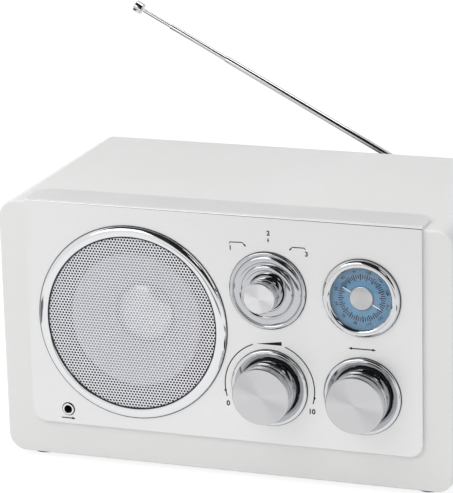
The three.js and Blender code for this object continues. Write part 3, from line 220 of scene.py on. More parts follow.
# ---- Camera and studio, in degrees, metres and watts ----

CAMERA_AZIMUTH = 19.89
CAMERA_ELEVATION = 16.25
CAMERA_ROLL = -1.40
CAMERA_DISTANCE = 1.2478
CAMERA_LENS = 223.4
CAMERA_AIM = Vector((0.00297, FRONT, CABINET_LOW.z + 0.10653))

WORLD_STRENGTH = 0.5
KEY_WATTS = 7.1
TOP_WATTS = 7.8
LAMP_AIM = Vector((0, 0, 0.08))
FLOOR_SIZE = 12
FLOOR_GLOW = 1.15
FLOOR_GLOW_SHARE = 0.75
WHITE = (1, 1, 1, 1)

# Sockets of a Mix node that blends colours, and the textures that break a finish up
FACTOR, FIRST, SECOND, MIXED = 0, 6, 7, 2
NOISE = "ShaderNodeTexNoise"
VORONOI = "ShaderNodeTexVoronoi"
WAVE = "ShaderNodeTexWave"


# ---- Materials ----


def linear(hex_colour):
    """An sRGB hex value as linear red, green, blue and alpha."""
    channels = [int(hex_colour[i : i + 2], 16) / 255 for i in (1, 3, 5)]
    return (*[c / 12.92 if c <= 0.04045 else ((c + 0.055) / 1.055) ** 2.4 for c in channels], 1.0)


def per(size_mm):
    """Scale of a pattern whose grains are a size across."""
    return 1 / (size_mm * MM)


def set_inputs(tree, node, inputs):
    """Gives a node's sockets their constants and their links."""
    for socket, value in inputs.items():
        if isinstance(value, bpy.types.NodeSocket):
            tree.links.new(value, node.inputs[socket])
        else:
            node.inputs[socket].default_value = value


def add_node(tree, kind, inputs, **settings):
    """A node with its settings, its constants and its links."""
    made = tree.nodes.new(kind)
    for name, value in settings.items():
        setattr(made, name, value)
    set_inputs(tree, made, inputs)
    return made


def new_material(name, constants):
    """A material with one Principled shader: the material, its node tree and the shader."""
    made = bpy.data.materials.new(name)
    made.use_nodes = True
    shader = made.node_tree.nodes["Principled BSDF"]
    set_inputs(made.node_tree, shader, constants)
    return made, made.node_tree, shader


def vary(tree, shader, pattern, colours=None, gloss=None, relief=None):
    """Lets a pattern blend two colours, sweep the roughness and lift the surface, in millimetres."""
    if colours:
        first, second = colours
        blend = {FACTOR: pattern, FIRST: linear(first), SECOND: linear(second)}
        tint = add_node(tree, "ShaderNodeMix", blend, data_type="RGBA")
        set_inputs(tree, shader, {"Base Color": tint.outputs[MIXED]})
    if gloss:
        low, high = gloss
        sweep = add_node(tree, "ShaderNodeMapRange", {"Value": pattern, "To Min": low, "To Max": high})
        set_inputs(tree, shader, {"Roughness": sweep.outputs["Result"]})
    if relief:
        bump = add_node(tree, "ShaderNodeBump", {"Height": pattern, "Distance": relief * MM})
        set_inputs(tree, shader, {"Normal": bump.outputs["Normal"]})


def grained(name, constants, *patterns):
    """A material broken up by patterns whose grains have a real size.

    Each is what it varies, its texture node, its grain's size in millimetres and its settings."""
    made, tree, shader = new_material(name, constants)
    where = add_node(tree, "ShaderNodeTexCoord", {}).outputs["Object"]
    for varied, texture, grain_mm, settings in patterns:
        inputs = {"Vector": where, "Scale": per(grain_mm), **settings}
        pattern = add_node(tree, texture, inputs)
        output = "Distance" if texture == VORONOI else "Fac"
        vary(tree, shader, pattern.outputs[output], **varied)
    return made


def plating(name, colour):
    """Bright plating on a polished part: a mirror with a trace of handling haze."""
    metal = {"Base Color": linear(colour), "Metallic": 1.0}
    return grained(name, metal, ({"gloss": (0.04, 0.11)}, NOISE, 11, {"Detail": 4.0}))


def spun_aluminium(name, dark, light):
    """Aluminium turned on a lathe: fine tool marks that draw the light into opposite fans."""
    made, tree, shader = new_material(name, {"Metallic": 1.0, "Anisotropic": 0.9})
    turning = add_node(tree, "ShaderNodeUVMap", {}, uv_map="turning")
    tangent = add_node(tree, "ShaderNodeTangent", {}, direction_type="UV_MAP", uv_map="turning")
    set_inputs(tree, shader, {"Tangent": tangent.outputs["Tangent"]})
    # Tool marks of about 0.05 mm are drawn 0.25 mm apart, so that they show.
    outwards = {"Vector": turning.outputs["UV"], "Scale": (0.0, per(0.25), 0.0)}
    stretched = add_node(tree, "ShaderNodeMapping", outwards)
    noise = {"Vector": stretched.outputs["Vector"], "Scale": 1.0}
    marks = add_node(tree, "ShaderNodeTexNoise", noise)
    vary(tree, shader, marks.outputs["Fac"], (dark, light), (0.26, 0.34))
    return made


def moulded_plastic(name, light, dark, roughness):
    """Plastic moulded against a spark-eroded face: an even fine grain."""
    grain = {"colours": (dark, light), "relief": 0.03}
    return grained(name, {"Roughness": roughness}, (grain, NOISE, 0.7, {}))


def clear_acrylic():
    """Moulded clear acrylic that lets the lamps reach what is under it."""
    clear = {
        "Base Color": linear("#ffffff"),
        "Roughness": 0.02,
        "IOR": 1.49,
        "Transmission Weight": 1.0,
    }
    made, tree, shader = new_material("clear_acrylic", clear)
    shadow = add_node(tree, "ShaderNodeLightPath", {}).outputs["Is Shadow Ray"]
    through = add_node(tree, "ShaderNodeBsdfTransparent", {}).outputs["BSDF"]
    choice = {0: shadow, 1: shader.outputs["BSDF"], 2: through}
    shown = add_node(tree, "ShaderNodeMixShader", choice)
    set_inputs(tree, tree.nodes["Material Output"], {"Surface": shown.outputs["Shader"]})
    return made


def blue_dial_with_painted_shade():
    """Blue ink printed on the back of a clear disc: a soft blue, darker towards the rim as painted
    shade under the ring.
    """
    made, tree, shader = new_material("blue_dial_with_painted_shade", {"Roughness": 0.35})
    where = add_node(tree, "ShaderNodeTexCoord", {}).outputs["Object"]
    centred = {"Vector": where, "Location": tuple(-middle("dial_scale"))}
    place = add_node(tree, "ShaderNodeMapping", centred).outputs["Vector"]
    length = add_node(tree, "ShaderNodeVectorMath", {0: place}, operation="LENGTH").outputs["Value"]
    # Darker towards the rim: painted shade where the ring and its recess shade the disc.
    edges = {"Value": length, "From Min": 4 * MM, "From Max": 14.5 * MM}
    outwards = add_node(tree, "ShaderNodeMapRange", edges)
    vary(tree, shader, outwards.outputs["Result"], ("#5a93b8", "#417a9f"))
    return made


def screen_ink(name, colour):
    """Screen-printing ink: opaque, matt, laid on a few hundredths of a millimetre thick."""
    ink = {"Base Color": linear(colour), "Specular IOR Level": 0.1}
    return grained(name, ink, ({"gloss": (0.42, 0.6)}, NOISE, 0.4, {}))


# Sprayed white lacquer on sanded fibreboard: a satin white skin with a faint orange peel.
LACQUER = grained(
    "lacquered_fibreboard",
    {"Coat Weight": 0.2, "Coat Roughness": 0.15},
    ({"relief": 0.012}, NOISE, 1.4, {}),
    ({"colours": ("#e8e8e7", "#ebebea"), "gloss": (0.31, 0.38)}, NOISE, 45, {}),
)
# Injection-moulded ABS sprayed silver-white: fine metal flake in a satin lacquer. Flake of about
# 0.05 mm is drawn at 0.3 mm, the finest that shows.
PANEL_PAINT = grained(
    "silver_lacquered_abs",
    {"Metallic": 0.55},
    ({"colours": ("#eeeeee", "#e7e7e7")}, VORONOI, 0.3, {}),
    ({"gloss": (0.36, 0.44)}, NOISE, 33, {}),
)
CHROME = plating("chrome_plating", "#dfe0e2")
# Darker copies of the plating, for the knob shells and small rings and, darkest, the selector's
# escutcheon: painted shade that stands in for their darker reflections.
ABS_CHROME_PAINTED_DARKER = plating("abs_chrome_painted_darker", "#d0d1d3")
CHROME_PAINTED_DARKEST = plating("plating_painted_darkest", "#bebfc2")
NICKEL = plating("nickel_plating", "#c9c9cc")
SPUN = spun_aluminium("spun_aluminium", "#c0c0c2", "#d2d2d3")
# A lighter copy for the selector's face, painted light, and a darker copy for the dial's hub, painted
# shade in place of the dark reflections that the lens keeps off it.
SPUN_PAINTED_LIGHTER = spun_aluminium("spun_aluminium_painted_lighter", "#d5d5d7", "#e8e8e9")
SPUN_PAINTED_DARKER = spun_aluminium("spun_aluminium_painted_darker", "#b2b2b4", "#c3c3c4")
# Zinc-plated sheet steel, pressed: dull grey with a cloudy spangle.
STEEL = grained(
    "pressed_steel",
    {"Base Color": linear("#a8aaad"), "Metallic": 1.0},
    ({"gloss": (0.3, 0.5)}, VORONOI, 2.5, {}),
)
# Perforated sheet steel with silver-white paint: satin, with a fine orange peel.
GRILLE_PAINT = grained(
    "painted_steel_mesh",
    {"Base Color": linear("#f8f8fe")},
    ({"gloss": (0.36, 0.5)}, NOISE, 0.7, {"Detail": 1.0}),
)
# Pressed white paper pulp: matt, with short fibres.
PULP = grained(
    "paper_pulp",
    {"Roughness": 0.8},
    (
        {"colours": ("#b6b6bc", "#c4c4ca"), "relief": 0.08},
        NOISE,
        1.1,
        {"Detail": 5.0, "Distortion": 1.5},
    ),
)
# Thin aluminium sheet drawn to a dome: bright, with faint ripples that break the light up.
DOME = grained(
    "drawn_aluminium",
    {"Roughness": 0.22, "Metallic": 1.0},
    ({"colours": ("#cacacc", "#d5d5d7")}, NOISE, 1.4, {"Detail": 4.0}),
)
# Black rubber from a spark-eroded mould: matt with a fine grain.
RUBBER = grained(
    "moulded_rubber",
    {"Base Color": linear("#232324"), "Roughness": 0.78},
    ({"relief": 0.05}, NOISE, 0.8, {"Detail": 3.0}),
)
# Ground ferrite: dark grey ceramic with a dull sheen.
FERRITE = grained(
    "sintered_ferrite",
    {"Roughness": 0.55},
    ({"colours": ("#323235", "#46464a")}, NOISE, 1.7, {"Detail": 4.0}),
)
BLACK_ABS = moulded_plastic("black_abs", "#2b2b2d", "#222224", 0.5)
WHITE_ABS = moulded_plastic("white_abs", "#f0efed", "#e6e5e3", 0.45)
NYLON = moulded_plastic("natural_nylon", "#e9e4d6", "#ded8c8", 0.5)
ACRYLIC = clear_acrylic()
DIAL_BLUE = blue_dial_with_painted_shade()
BLACK_INK = screen_ink("black_ink", "#1d1d1f")
NAVY_INK = screen_ink("navy_ink", "#0a1830")
# Close turns of enamelled copper wire: coppery ridges across the winding. Turns of about 0.3 mm are
# drawn 2 mm apart, so that they show; a wave's bands lie pi / 10 of its size apart.
WIRE = grained(
    "enamelled_wire",
    {"Roughness": 0.35, "Metallic": 0.8},
    ({"colours": ("#8c4a1e", "#c67a40"), "relief": 0.15}, WAVE, 2 * math.pi, {"Distortion": 0.3}),
)
# Brown phenolic paper board with a smooth resin face.
BOARD = grained(
    "phenolic_board",
    {"Roughness": 0.45},
    ({"colours": ("#8d6c36", "#ab894c")}, NOISE, 3.3, {"Detail": 4.0}),
)

# CAD nodes that stay, each with its finish
KEPT = (
    (STEEL, "speaker_basket", "speaker_top_plate", "speaker_yoke", "idler_clip", "transformer_core"),
    (STEEL, "selector_shaft", "volume_shaft", "tuning_shaft"),
    (STEEL, "wave_switch", "volume_potentiometer", "gear_plate"),
    (FERRITE, "speaker_magnet", "ferrite_rod"),
    (NYLON, "tuning_pinion", "idler_gear", "dial_gear"),
    (WHITE_ABS, "tuning_capacitor", "ferrite_holder"),
    (WIRE, "ferrite_coil", "transformer_winding"),
    (BLACK_ABS, "aux_socket"),
    (BOARD, "main_board"),
)


# ---- Mesh tools ----


def linked(name, data):
    """An object of the scene that shows a mesh, a curve, a lamp or a camera."""
    made = bpy.data.objects.new(name, data)
    bpy.context.scene.collection.objects.link(made)
    return made


def solid(name, shape):
    """An object from a bmesh, which it uses up."""
    mesh = bpy.data.meshes.new(name)
    shape.to_mesh(mesh)
    shape.free()
    return linked(name, mesh)


def add_piece(name, shape, material, slot, node=None, body="housing", smooth=34, weighted=False):
    """Makes a piece, rides it on its body and hides the CAD node that it stands for."""
    piece = solid(name, shape)
    piece.data.materials.append(material)
    piece.data.shade_smooth()
    piece.data.set_sharp_from_angle(angle=math.radians(smooth))
    if weighted:
        weigh = piece.modifiers.new("flat_faces_stay_flat", "WEIGHTED_NORMAL")
        weigh.keep_sharp = True
    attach(piece, body)
    if node:
        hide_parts(node)
    return piece


def placed(shape, matrix):
    bmesh.ops.transform(shape, verts=shape.verts, matrix=matrix)
    return shape


def moved(shape, x, y, z):
    bmesh.ops.translate(shape, verts=shape.verts, vec=(x, y, z))
    return shape


def bevel(shape, edges, size_mm, segments, affect="EDGES"):
    bmesh.ops.bevel(
        shape,
        geom=edges,
        offset=size_mm * MM,
        offset_type="OFFSET",
        segments=segments,
        profile=0.5,
        affect=affect,
        material=-1,
        clamp_overlap=True,
    )


def rim(shape, axis, value):
    """Edges that lie in the plane where a coordinate has a value."""
    return [e for e in shape.edges if all(abs(v.co[axis] - value) < 1e-6 for v in e.verts)]


def spun(profile, rounding, steps=144):
    """Turns a profile of (radius, depth) points in millimetres round the depth axis.

    Its corners are rounded first. One that starts on the axis ends on it, and any other is closed."""
    shape = bmesh.new()
    points = [shape.verts.new((r * MM, y * MM, 0)) for r, y in profile]
    for pair in zip(points, points[1:]):
        shape.edges.new(pair)
    corners = points[1:-1]
    if profile[0][0] > 1e-6:
        shape.edges.new((points[-1], points[0]))
        corners = points
    if rounding:
        bevel(shape, corners, rounding, 3, "VERTICES")
    bmesh.ops.spin(
        shape,
        geom=shape.verts[:] + shape.edges[:],
        cent=(0, 0, 0),
        axis=(0, 1, 0),
        dvec=(0, 0, 0),
        angle=2 * math.pi,
        steps=steps,
        use_merge=True,
        use_duplicate=False,
    )
    bmesh.ops.remove_doubles(shape, verts=shape.verts, dist=1e-6)
    bmesh.ops.recalc_face_normals(shape, faces=shape.faces)
    return shape


def turned(profile, node, rounding=0.12, steps=144):
    """A turned shape round a CAD node's middle, its depths counted from the cabinet's front face."""
    centre = middle(node)
    return moved(spun(profile, rounding, steps), centre.x, FRONT, centre.z)


def add_turned(name, profile, node, material, slot, rounding=0.12, steps=144, **how):
    """A turned piece that stands for a CAD node."""
    return add_piece(name, turned(profile, node, rounding, steps), material, slot, node, **how)


def arc(centre_radius, centre_depth, across, along, start, end, steps):
    """Points on part of an ellipse, as (radius, depth) pairs, with angles in degrees."""
    angles = [math.radians(start + (end - start) * i / steps) for i in range(steps + 1)]
    return [(centre_radius + across * math.cos(a), centre_depth + along * math.sin(a)) for a in angles]


def rod(size_radius, start, end):
    """The profile of a solid rod."""
    return [(0, start), (size_radius, start), (size_radius, end), (0, end)]


def tube(bore, outer, start, end):
    """The profile of a tube, from its bore outwards."""
    return [(bore, start), (outer, start), (outer, end), (bore, end)]


def merged(*shapes):
    """Several bmeshes as one."""
    whole, *others = shapes
    for other in others:
        mesh = bpy.data.meshes.new("merging")
        other.to_mesh(mesh)
        other.free()
        whole.from_mesh(mesh)
        bpy.data.meshes.remove(mesh)
    return whole


def thickened(shape, thickness_mm, axis=1):
    """Gives flat faces a thickness along an axis."""
    grown = bmesh.ops.extrude_face_region(shape, geom=shape.faces[:])
    moving = [v for v in grown["geom"] if isinstance(v, bmesh.types.BMVert)]
    push = [0, 0, 0]
    push[axis] = thickness_mm * MM
    bmesh.ops.translate(shape, verts=moving, vec=push)
    bmesh.ops.recalc_face_normals(shape, faces=shape.faces)
    return shape


def flat(shape, points):
    """A face through (x, z) points in millimetres."""
    return shape.faces.new([shape.verts.new((x * MM, 0, z * MM)) for x, z in points])


def box(low, high):
    """A box between two corners, in metres."""
    shape = bmesh.new()
    bmesh.ops.create_cube(shape, size=1)
    bmesh.ops.scale(shape, verts=shape.verts, vec=Vector(high) - Vector(low))
    return moved(shape, *((Vector(high) + Vector(low)) / 2))


def rounded_box(low, high, corner, segments=16):
    """A box whose edges along the depth are rounded."""
    shape = box(low, high)
    lengthwise = [e for e in shape.edges if abs((e.verts[0].co - e.verts[1].co).normalized().y) > 0.99]
    bevel(shape, lengthwise, corner, segments)
    return shape


def round_ended(centre, width, height, low_y, high_y):
    """A cutter along the depth with a section in millimetres that has round ends."""
    half = Vector((width / 2, 0, height / 2)) * MM
    low = Vector((centre.x, low_y, centre.z)) - half
    high = Vector((centre.x, high_y, centre.z)) + half
    return rounded_box(low, high, min(width, height) / 2 - 0.01, 6)


def peg(centre, size_radius, first, last, segments=96):
    """A plain cylinder along the depth, from one depth to another, in millimetres."""
    shape = bmesh.new()
    bmesh.ops.create_cone(
        shape,
        cap_ends=True,
        segments=segments,
        radius1=size_radius * MM,
        radius2=size_radius * MM,
        depth=(last - first) * MM,
    )
    placed(shape, Matrix.Rotation(math.pi / 2, 4, "X"))
    return moved(shape, centre.x, FRONT + (first + last) / 2 * MM, centre.z)


def carved(shape, *cutters):
    """The shape less each cutter, as a new bmesh."""
    temporary = []
    for number, each in enumerate((shape, *cutters)):
        bmesh.ops.recalc_face_normals(each, faces=each.faces)
        temporary.append(solid(f"cutting_{number}", each))
    block, *tools = temporary
    for tool in tools:
        cut = block.modifiers.new(tool.name, "BOOLEAN")
        cut.operation = "DIFFERENCE"
        cut.solver = "EXACT"
        cut.object = tool
    bpy.context.view_layer.update()
    cut_block = block.evaluated_get(bpy.context.evaluated_depsgraph_get())
    result = bmesh.new()
    result.from_mesh(cut_block.to_mesh())
    cut_block.to_mesh_clear()
    for made in temporary:
        mesh = made.data
        bpy.data.objects.remove(made)
        bpy.data.meshes.remove(mesh)
    return result


# ---- Cabinet, panel, feet ----


def cabinet():
    """Lacquered box with softly rounded front and back edges, hollow and open behind."""
    shape = rounded_box(CABINET_LOW, CABINET_HIGH, CABINET_CORNER, 20)
    bevel(shape, rim(shape, 1, CABINET_LOW.y) + rim(shape, 1, CABINET_HIGH.y), LACQUER_EDGE, 4)
    wall = Vector((CABINET_WALL, 0, CABINET_WALL)) * MM
    past = Vector((0, 0.005, 0))
    room_low = CABINET_LOW + wall + Vector((0, FRONT_WALL * MM, 0))
    room = rounded_box(room_low, CABINET_HIGH - wall + past, 2, 4)
    gap = Vector((REBATE_GAP, 0, REBATE_GAP)) * MM
    rebate = rounded_box(COVER_LOW - gap, COVER_HIGH + gap + past, 3.3, 6)
    board_low, board_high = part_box("main_board")
    edge = Vector((MM, 0, MM))
    start, end = (FRONT + y * MM for y in THROUGH_FRONT)
    window_low = Vector((board_low.x, start, board_low.z)) - edge
    window_high = Vector((board_high.x, end, board_high.z)) + edge
    window = rounded_box(window_low, window_high, 3, 4)
    driver_radius = radius("speaker_basket") + DRIVER_CLEARANCE
    driver = peg(middle("speaker_basket"), driver_radius, *THROUGH_FRONT)
    socket = peg(middle("aux_ring"), SOCKET_HOLE, *THROUGH_FRONT, 32)
    shape = carved(shape, room, rebate, window, driver, socket)
    add_piece("cabinet_shell", shape, LACQUER, "lacquered_fibreboard", "cabinet", weighted=True)


def fold_gap(first, last, larger):
    """The fine slot under the panel's fold, which opens towards the right.

    It runs between two depths from the panel's face. The black strip in it, a little larger than the
    slot that is cut and ending inside the panel, is painted shade that darkens the slot."""
    top = PANEL_HIGH.z - FOLD_RADIUS * MM
    low = Vector((PANEL_LOW.x, PANEL_FACE + first * MM, top - FOLD_GAP_RIGHT * MM))
    high = Vector((PANEL_HIGH.x, PANEL_FACE + last * MM, top))
    past = Vector((-0.05 * MM if larger else MM, 0, larger * MM))
    shape = box(low - past, high + past)
    for vertex in shape.verts:
        if vertex.co.x < 0 and vertex.co.z < top - larger * MM:
            vertex.co.z = top - (FOLD_GAP_LEFT + larger) * MM
    return shape


def front_panel():
    """One moulded sheet: the face, a tight round fold, and a flange that lies on the cabinet."""
    shape = bmesh.new()
    flange_back = FRONT + FLANGE_DEPTH * MM
    rows = []
    for y, z in ((PANEL_FACE, PANEL_LOW.z), (PANEL_FACE, PANEL_HIGH.z), (flange_back, PANEL_HIGH.z)):
        rows.append([shape.verts.new((x, y, z)) for x in (PANEL_LOW.x, PANEL_HIGH.x)])
    for (a, b), (d, c) in zip(rows, rows[1:]):
        shape.faces.new((a, b, c, d))
    bevel(shape, rows[0], PANEL_CORNER, 12, "VERTICES")
    shape.verts.ensure_lookup_table()
    ends = [v for v in shape.verts if abs(v.co.y - flange_back) < 1e-6]
    bevel(shape, ends, FLANGE_CORNER, 12, "VERTICES")
    bmesh.ops.recalc_face_normals(shape, faces=shape.faces)
    bmesh.ops.solidify(shape, geom=shape.faces[:], thickness=PANEL_THICKNESS * MM)
    bmesh.ops.recalc_face_normals(shape, faces=shape.faces)
    crease = set(rim(shape, 1, PANEL_FACE)) & set(rim(shape, 2, PANEL_HIGH.z))
    bevel(shape, list(crease), FOLD_RADIUS, 8)
    holes = [peg(middle(node), size, *THROUGH_PANEL, steps) for node, size, steps in PANEL_HOLES]
    shape = carved(shape, fold_gap(*FOLD_GAP_DEPTHS, 0), *holes)
    add_piece("panel_sheet", shape, PANEL_PAINT, "silver_plastic", "front_panel", weighted=True)
    # A black strip in the slot: painted shade that makes the slot read as a dark line.
    add_piece("panel_fold_shade_strip", fold_gap(*FOLD_SHADE_STRIP_DEPTHS, 0.01), RUBBER, "rubber")


def panel_back():
    """Bosses for the board and the raised seat of the driver, moulded on the back of the panel."""
    low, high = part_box("main_board")
    front, _ = depth("main_board")
    inset = BOSS_INSET * MM
    bosses = []
    for x in (low.x + inset, high.x - inset):
        for z in (low.z + inset, high.z - inset):
            bosses.append(peg(Vector((x, 0, z)), BOSS_RADIUS, 0, front, 32))
    seat_back, _ = depth("speaker_basket")
    edge = SPEAKER_HOLE + DRIVER_SEAT
    seat = turned(tube(SPEAKER_HOLE, edge, 0, seat_back), "speaker_basket", 0, 96)
    add_piece("panel_bosses", merged(seat, *bosses), PANEL_PAINT, "silver_plastic")


def feet():
    """Turned rubber pads with a moulding recess underneath."""
    for node in FEET:
        low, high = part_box(node)
        size_radius = radius(node)
        height = (high.z - low.z) / MM
        sole = height - FOOT_RECESS
        outside = [(0, 0), (size_radius, 0), (size_radius, height)]
        recess = [(FOOT_RECESS_RADIUS, height), (FOOT_RECESS_RADIUS, sole), (0, sole)]
        top = Matrix.Translation((middle(node).x, middle(node).y, high.z))
        down = top @ Matrix.Rotation(-math.pi / 2, 4, "X")
        shape = placed(spun([*outside, *recess], 0.3, steps=48), down)
        add_piece(f"{node}_pad", shape, RUBBER, "rubber", node)


# ---- Loudspeaker ----


def speaker_ring():
    """Domed chrome ring that stands a hair off the panel, with a lip round the grille's edge."""
    node = "speaker_trim_ring"
    outer, front, _ = sizes(node)
    inner = radius("speaker_grille") + 0.3
    face = -PANEL_THICKNESS
    across = (outer - inner) / 1.5
    start = math.degrees(math.asin(SHADOW_GAP / (face - front)))
    crest = arc(outer - across, face, across, face - front, -start, -120, 28)
    back = depth("speaker_grille")[1]
    foot = outer - 2 * SHADOW_GAP
    lip = [(inner, back), (inner - RING_LIP, back), (inner - RING_LIP, -RING_LIP)]
    seat = [(RING_BACK_RADIUS, -RING_LIP), (RING_BACK_RADIUS, face)]
    profile = [(foot, face), (foot, face - SHADOW_GAP), *crest, *lip, *seat]
    add_turned("speaker_ring", profile, node, CHROME, "chrome", 0, 240)


def grille_cell(shape, x, z):
    """A plate of the sheet with an eight-sided hole, whose edge points its neighbours share."""
    half, row = GRILLE_PITCH / 2, GRILLE_PITCH * math.sqrt(3) / 4
    right_up = [(half, 0), (half, row), (0, row), (-half, row)]
    border = [*right_up, *[(-a, -b) for a, b in right_up]]
    outside = [shape.verts.new(((x + a) * MM, 0, (z + b) * MM)) for a, b in border]
    hole = round_path((x, z), GRILLE_HOLE, 0, 360, 8)[:-1]
    inside = [shape.verts.new((a * MM, 0, b * MM)) for a, b in hole]
    for i in range(8):
        j = (i + 1) % 8
        shape.faces.new((outside[i], outside[j], inside[j], inside[i]))


def grille():
    """Fine perforated disc, its holes in staggered rows that run out under the ring's edge."""
    node = "speaker_grille"
    centre = middle(node)
    edge = radius(node)
    row_pitch = GRILLE_PITCH * math.sqrt(3) / 2
    shape = bmesh.new()
    rows = int(edge / row_pitch) + 1
    for row in range(-rows, rows + 1):
        stagger = GRILLE_PITCH / 2 if row % 2 else 0
        for column in range(-rows, rows + 1):
            x = column * GRILLE_PITCH + stagger
            z = row * row_pitch
            if math.hypot(x, z) < edge + GRILLE_PITCH / 4:
                grille_cell(shape, x, z)
    bmesh.ops.remove_doubles(shape, verts=shape.verts, dist=0.02 * MM)
    for vertex in shape.verts:
        length = vertex.co.length
        if length > edge * MM:
            vertex.co *= edge * MM / length
    bmesh.ops.dissolve_degenerate(shape, edges=shape.edges, dist=0.02 * MM)
    bmesh.ops.recalc_face_normals(shape, faces=shape.faces)
    thickened(shape, GRILLE_SHEET)
    moved(shape, centre.x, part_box(node)[0].y, centre.z)
    add_piece("grille_sheet", shape, GRILLE_PAINT, "perforated_steel", node)


def cone():
    """Paper cone with a short neck for its coil."""
    node = "speaker_cone"
    outer, front, back = sizes(node)
    neck = CONE_NECK
    inside = neck - 0.7
    outer_side = [(outer, front + DRIVER_WALL), (neck, 17), (neck, back)]
    inner_side = [(inside, back), (inside, 16.2), (20, 9.2), (outer - DRIVER_WALL, front)]
    profile = [*outer_side, *inner_side]
    add_turned("cone_paper", profile, node, PULP, "cone_paper", 0.1, 96, body="cone")


def dust_cap():
    """Thin dome over the coil."""
    node = "speaker_dust_cap"
    outer, front, back = sizes(node)
    rise = back - front
    outside = arc(0, back, outer, rise, -90, 0, 12)
    inside = arc(0, back, outer - DRIVER_WALL, rise - DRIVER_WALL, 0, -90, 10)
    profile = [*outside, *inside]
    add_turned("dust_cap_dome", profile, node, DOME, "cone_paper", 0, 96, body="cone")


def surround():
    """Rubber roll with a lip behind the cone's edge, which leaves the cone its travel."""
    node = "speaker_surround"
    front, back = depth(node)
    centre_radius = (ROLL_OUTSIDE + ROLL_INSIDE) / 2
    half = (ROLL_OUTSIDE - ROLL_INSIDE) / 2
    rise = back - front
    roll = arc(centre_radius, back, half, rise, -14, -180, 16)
    under = arc(centre_radius, back, half - DRIVER_WALL, rise - DRIVER_WALL, -180, 0, 16)
    rim_points = [(RING_BACK_RADIUS, back), (RING_BACK_RADIUS, back - DRIVER_WALL)]
    lip = [(30.9, 4.7), (32.6, 4.7), (32.6, back), (33.2, back), (33.2, 5.1), (30.9, 5.1)]
    shapes = [turned(profile, node, 0, steps=96) for profile in ([*rim_points, *roll, *under], lip)]
    add_piece("surround_roll", merged(*shapes), RUBBER, "rubber", node)


# ---- Controls ----


def trim(name, profile, rounding=0.12, finish=ABS_CHROME_PAINTED_DARKER):
    """A chrome ring whose skirt goes through the panel and whose edge stands a hair off it."""
    node = f"{name}_trim_ring"
    outer = radius(node)
    face = -PANEL_THICKNESS
    skirt = DIAL_SKIRT if name == "dial" else SKIRT
    foot = outer - 2 * SHADOW_GAP
    lift = face - SHADOW_GAP
    whole = [(skirt, 0), (skirt, face), (foot, face), (foot, lift), (outer, lift), *profile]
    add_turned(f"{name}_ring", whole, node, finish, "chrome", rounding, 192)


def black_ring(name, node, inner, outer, start, end, steps=192):
    """A flat ring of black rubber between two radii and two depths."""
    shape = turned(tube(inner, outer, start, end), node, 0, steps)
    add_piece(name, shape, RUBBER, "rubber")


def shade_rings():
    """Black rubber rings in the gaps round the chrome rings and the grille: painted shade that shows
    as a fine dark outline round each.
    """
    for name in ("speaker", "volume", "tuning", "selector", "dial"):
        node = f"{name}_trim_ring"
        outer = radius(node) + SHADE_RING_EDGE
        start, end = -PANEL_THICKNESS + 0.05, -PANEL_THICKNESS - SHADOW_GAP
        black_ring(f"{node}_shade_ring", node, outer - SHADE_RING_WIDTH, outer, start, end)
    # The same black ring round the grille's edge: painted shade in its gap to the speaker ring.
    node = "speaker_grille"
    edge = radius(node) + 0.4
    front, _ = depth(node)
    black_ring(f"{node}_shade_ring", node, edge - 0.75, edge, front - 0.02, front - 0.35)


def washers():
    """Black washers on the shafts, which close the view past each knob."""
    for name, size_radius in WASHERS:
        black_ring(f"{name}_washer", f"{name}_knob", WASHER_BORE, size_radius, *WASHER_DEPTHS, 96)


def knob_ring(name):
    """Dished chrome ring: thin outer step, rounded crest, and a slope down to the knob."""
    outer = radius(f"{name}_trim_ring")
    bore = radius(f"{name}_knob") + KNOB_GAP
    face = -PANEL_THICKNESS
    crest = arc(outer - 1.1, face - 0.6, 1.1, 0.8, 0, -120, 10)
    trim(name, [*crest, (bore + 0.3, face + 0.5), (bore, face + 0.8), (bore, 0)], 0.05)


def selector_ring():
    """Escutcheon that climbs to the knob in two rounded steps."""
    outer = radius("selector_trim_ring")
    bore = radius("selector_knob") + KNOB_GAP
    edge = -PANEL_THICKNESS - 0.6
    step = -PANEL_THICKNESS - 1.5
    crown_edge = 11.9
    across = (crown_edge - bore) / 1.5
    border = arc(outer - 0.9, edge, 0.9, 0.6, 0, -120, 10)
    shoulder = arc(12.9, edge, 3.0, edge - step, -20, -90, 10)
    crown = arc(crown_edge - across, step, across, 0.7, 0, -120, 12)
    profile = [*border, (outer - 1.9, edge), *shoulder, (crown_edge, step + 0.5), *crown, (bore, 0)]
    # The escutcheon takes the darkest copy of the plating: painted shade.
    trim("selector", profile, 0, CHROME_PAINTED_DARKEST)


def dial_ring():
    """Broad rounded chrome ring that holds the lens."""
    outer = radius("dial_trim_ring")
    lens_front = depth("dial_lens")[0]
    edge = -PANEL_THICKNESS - 0.6
    sweep = math.radians(140)
    rise = (edge - lens_front + 0.3) / math.sin(sweep)
    across = (outer - DIAL_OPENING) / (1 - math.cos(sweep))
    crest = arc(outer - across, edge, across, rise, 0, -140, 18)
    trim("dial", [*crest, (DIAL_OPENING, lens_front), (15, lens_front), (15, 0)], 0)


def hub(web, back, hub_radius):
    """The end of a knob's profile: its web, and the hub that grips the shaft."""
    return [(hub_radius, web), (hub_radius, back), (HUB_BORE, back), (HUB_BORE, web), (0, web)]


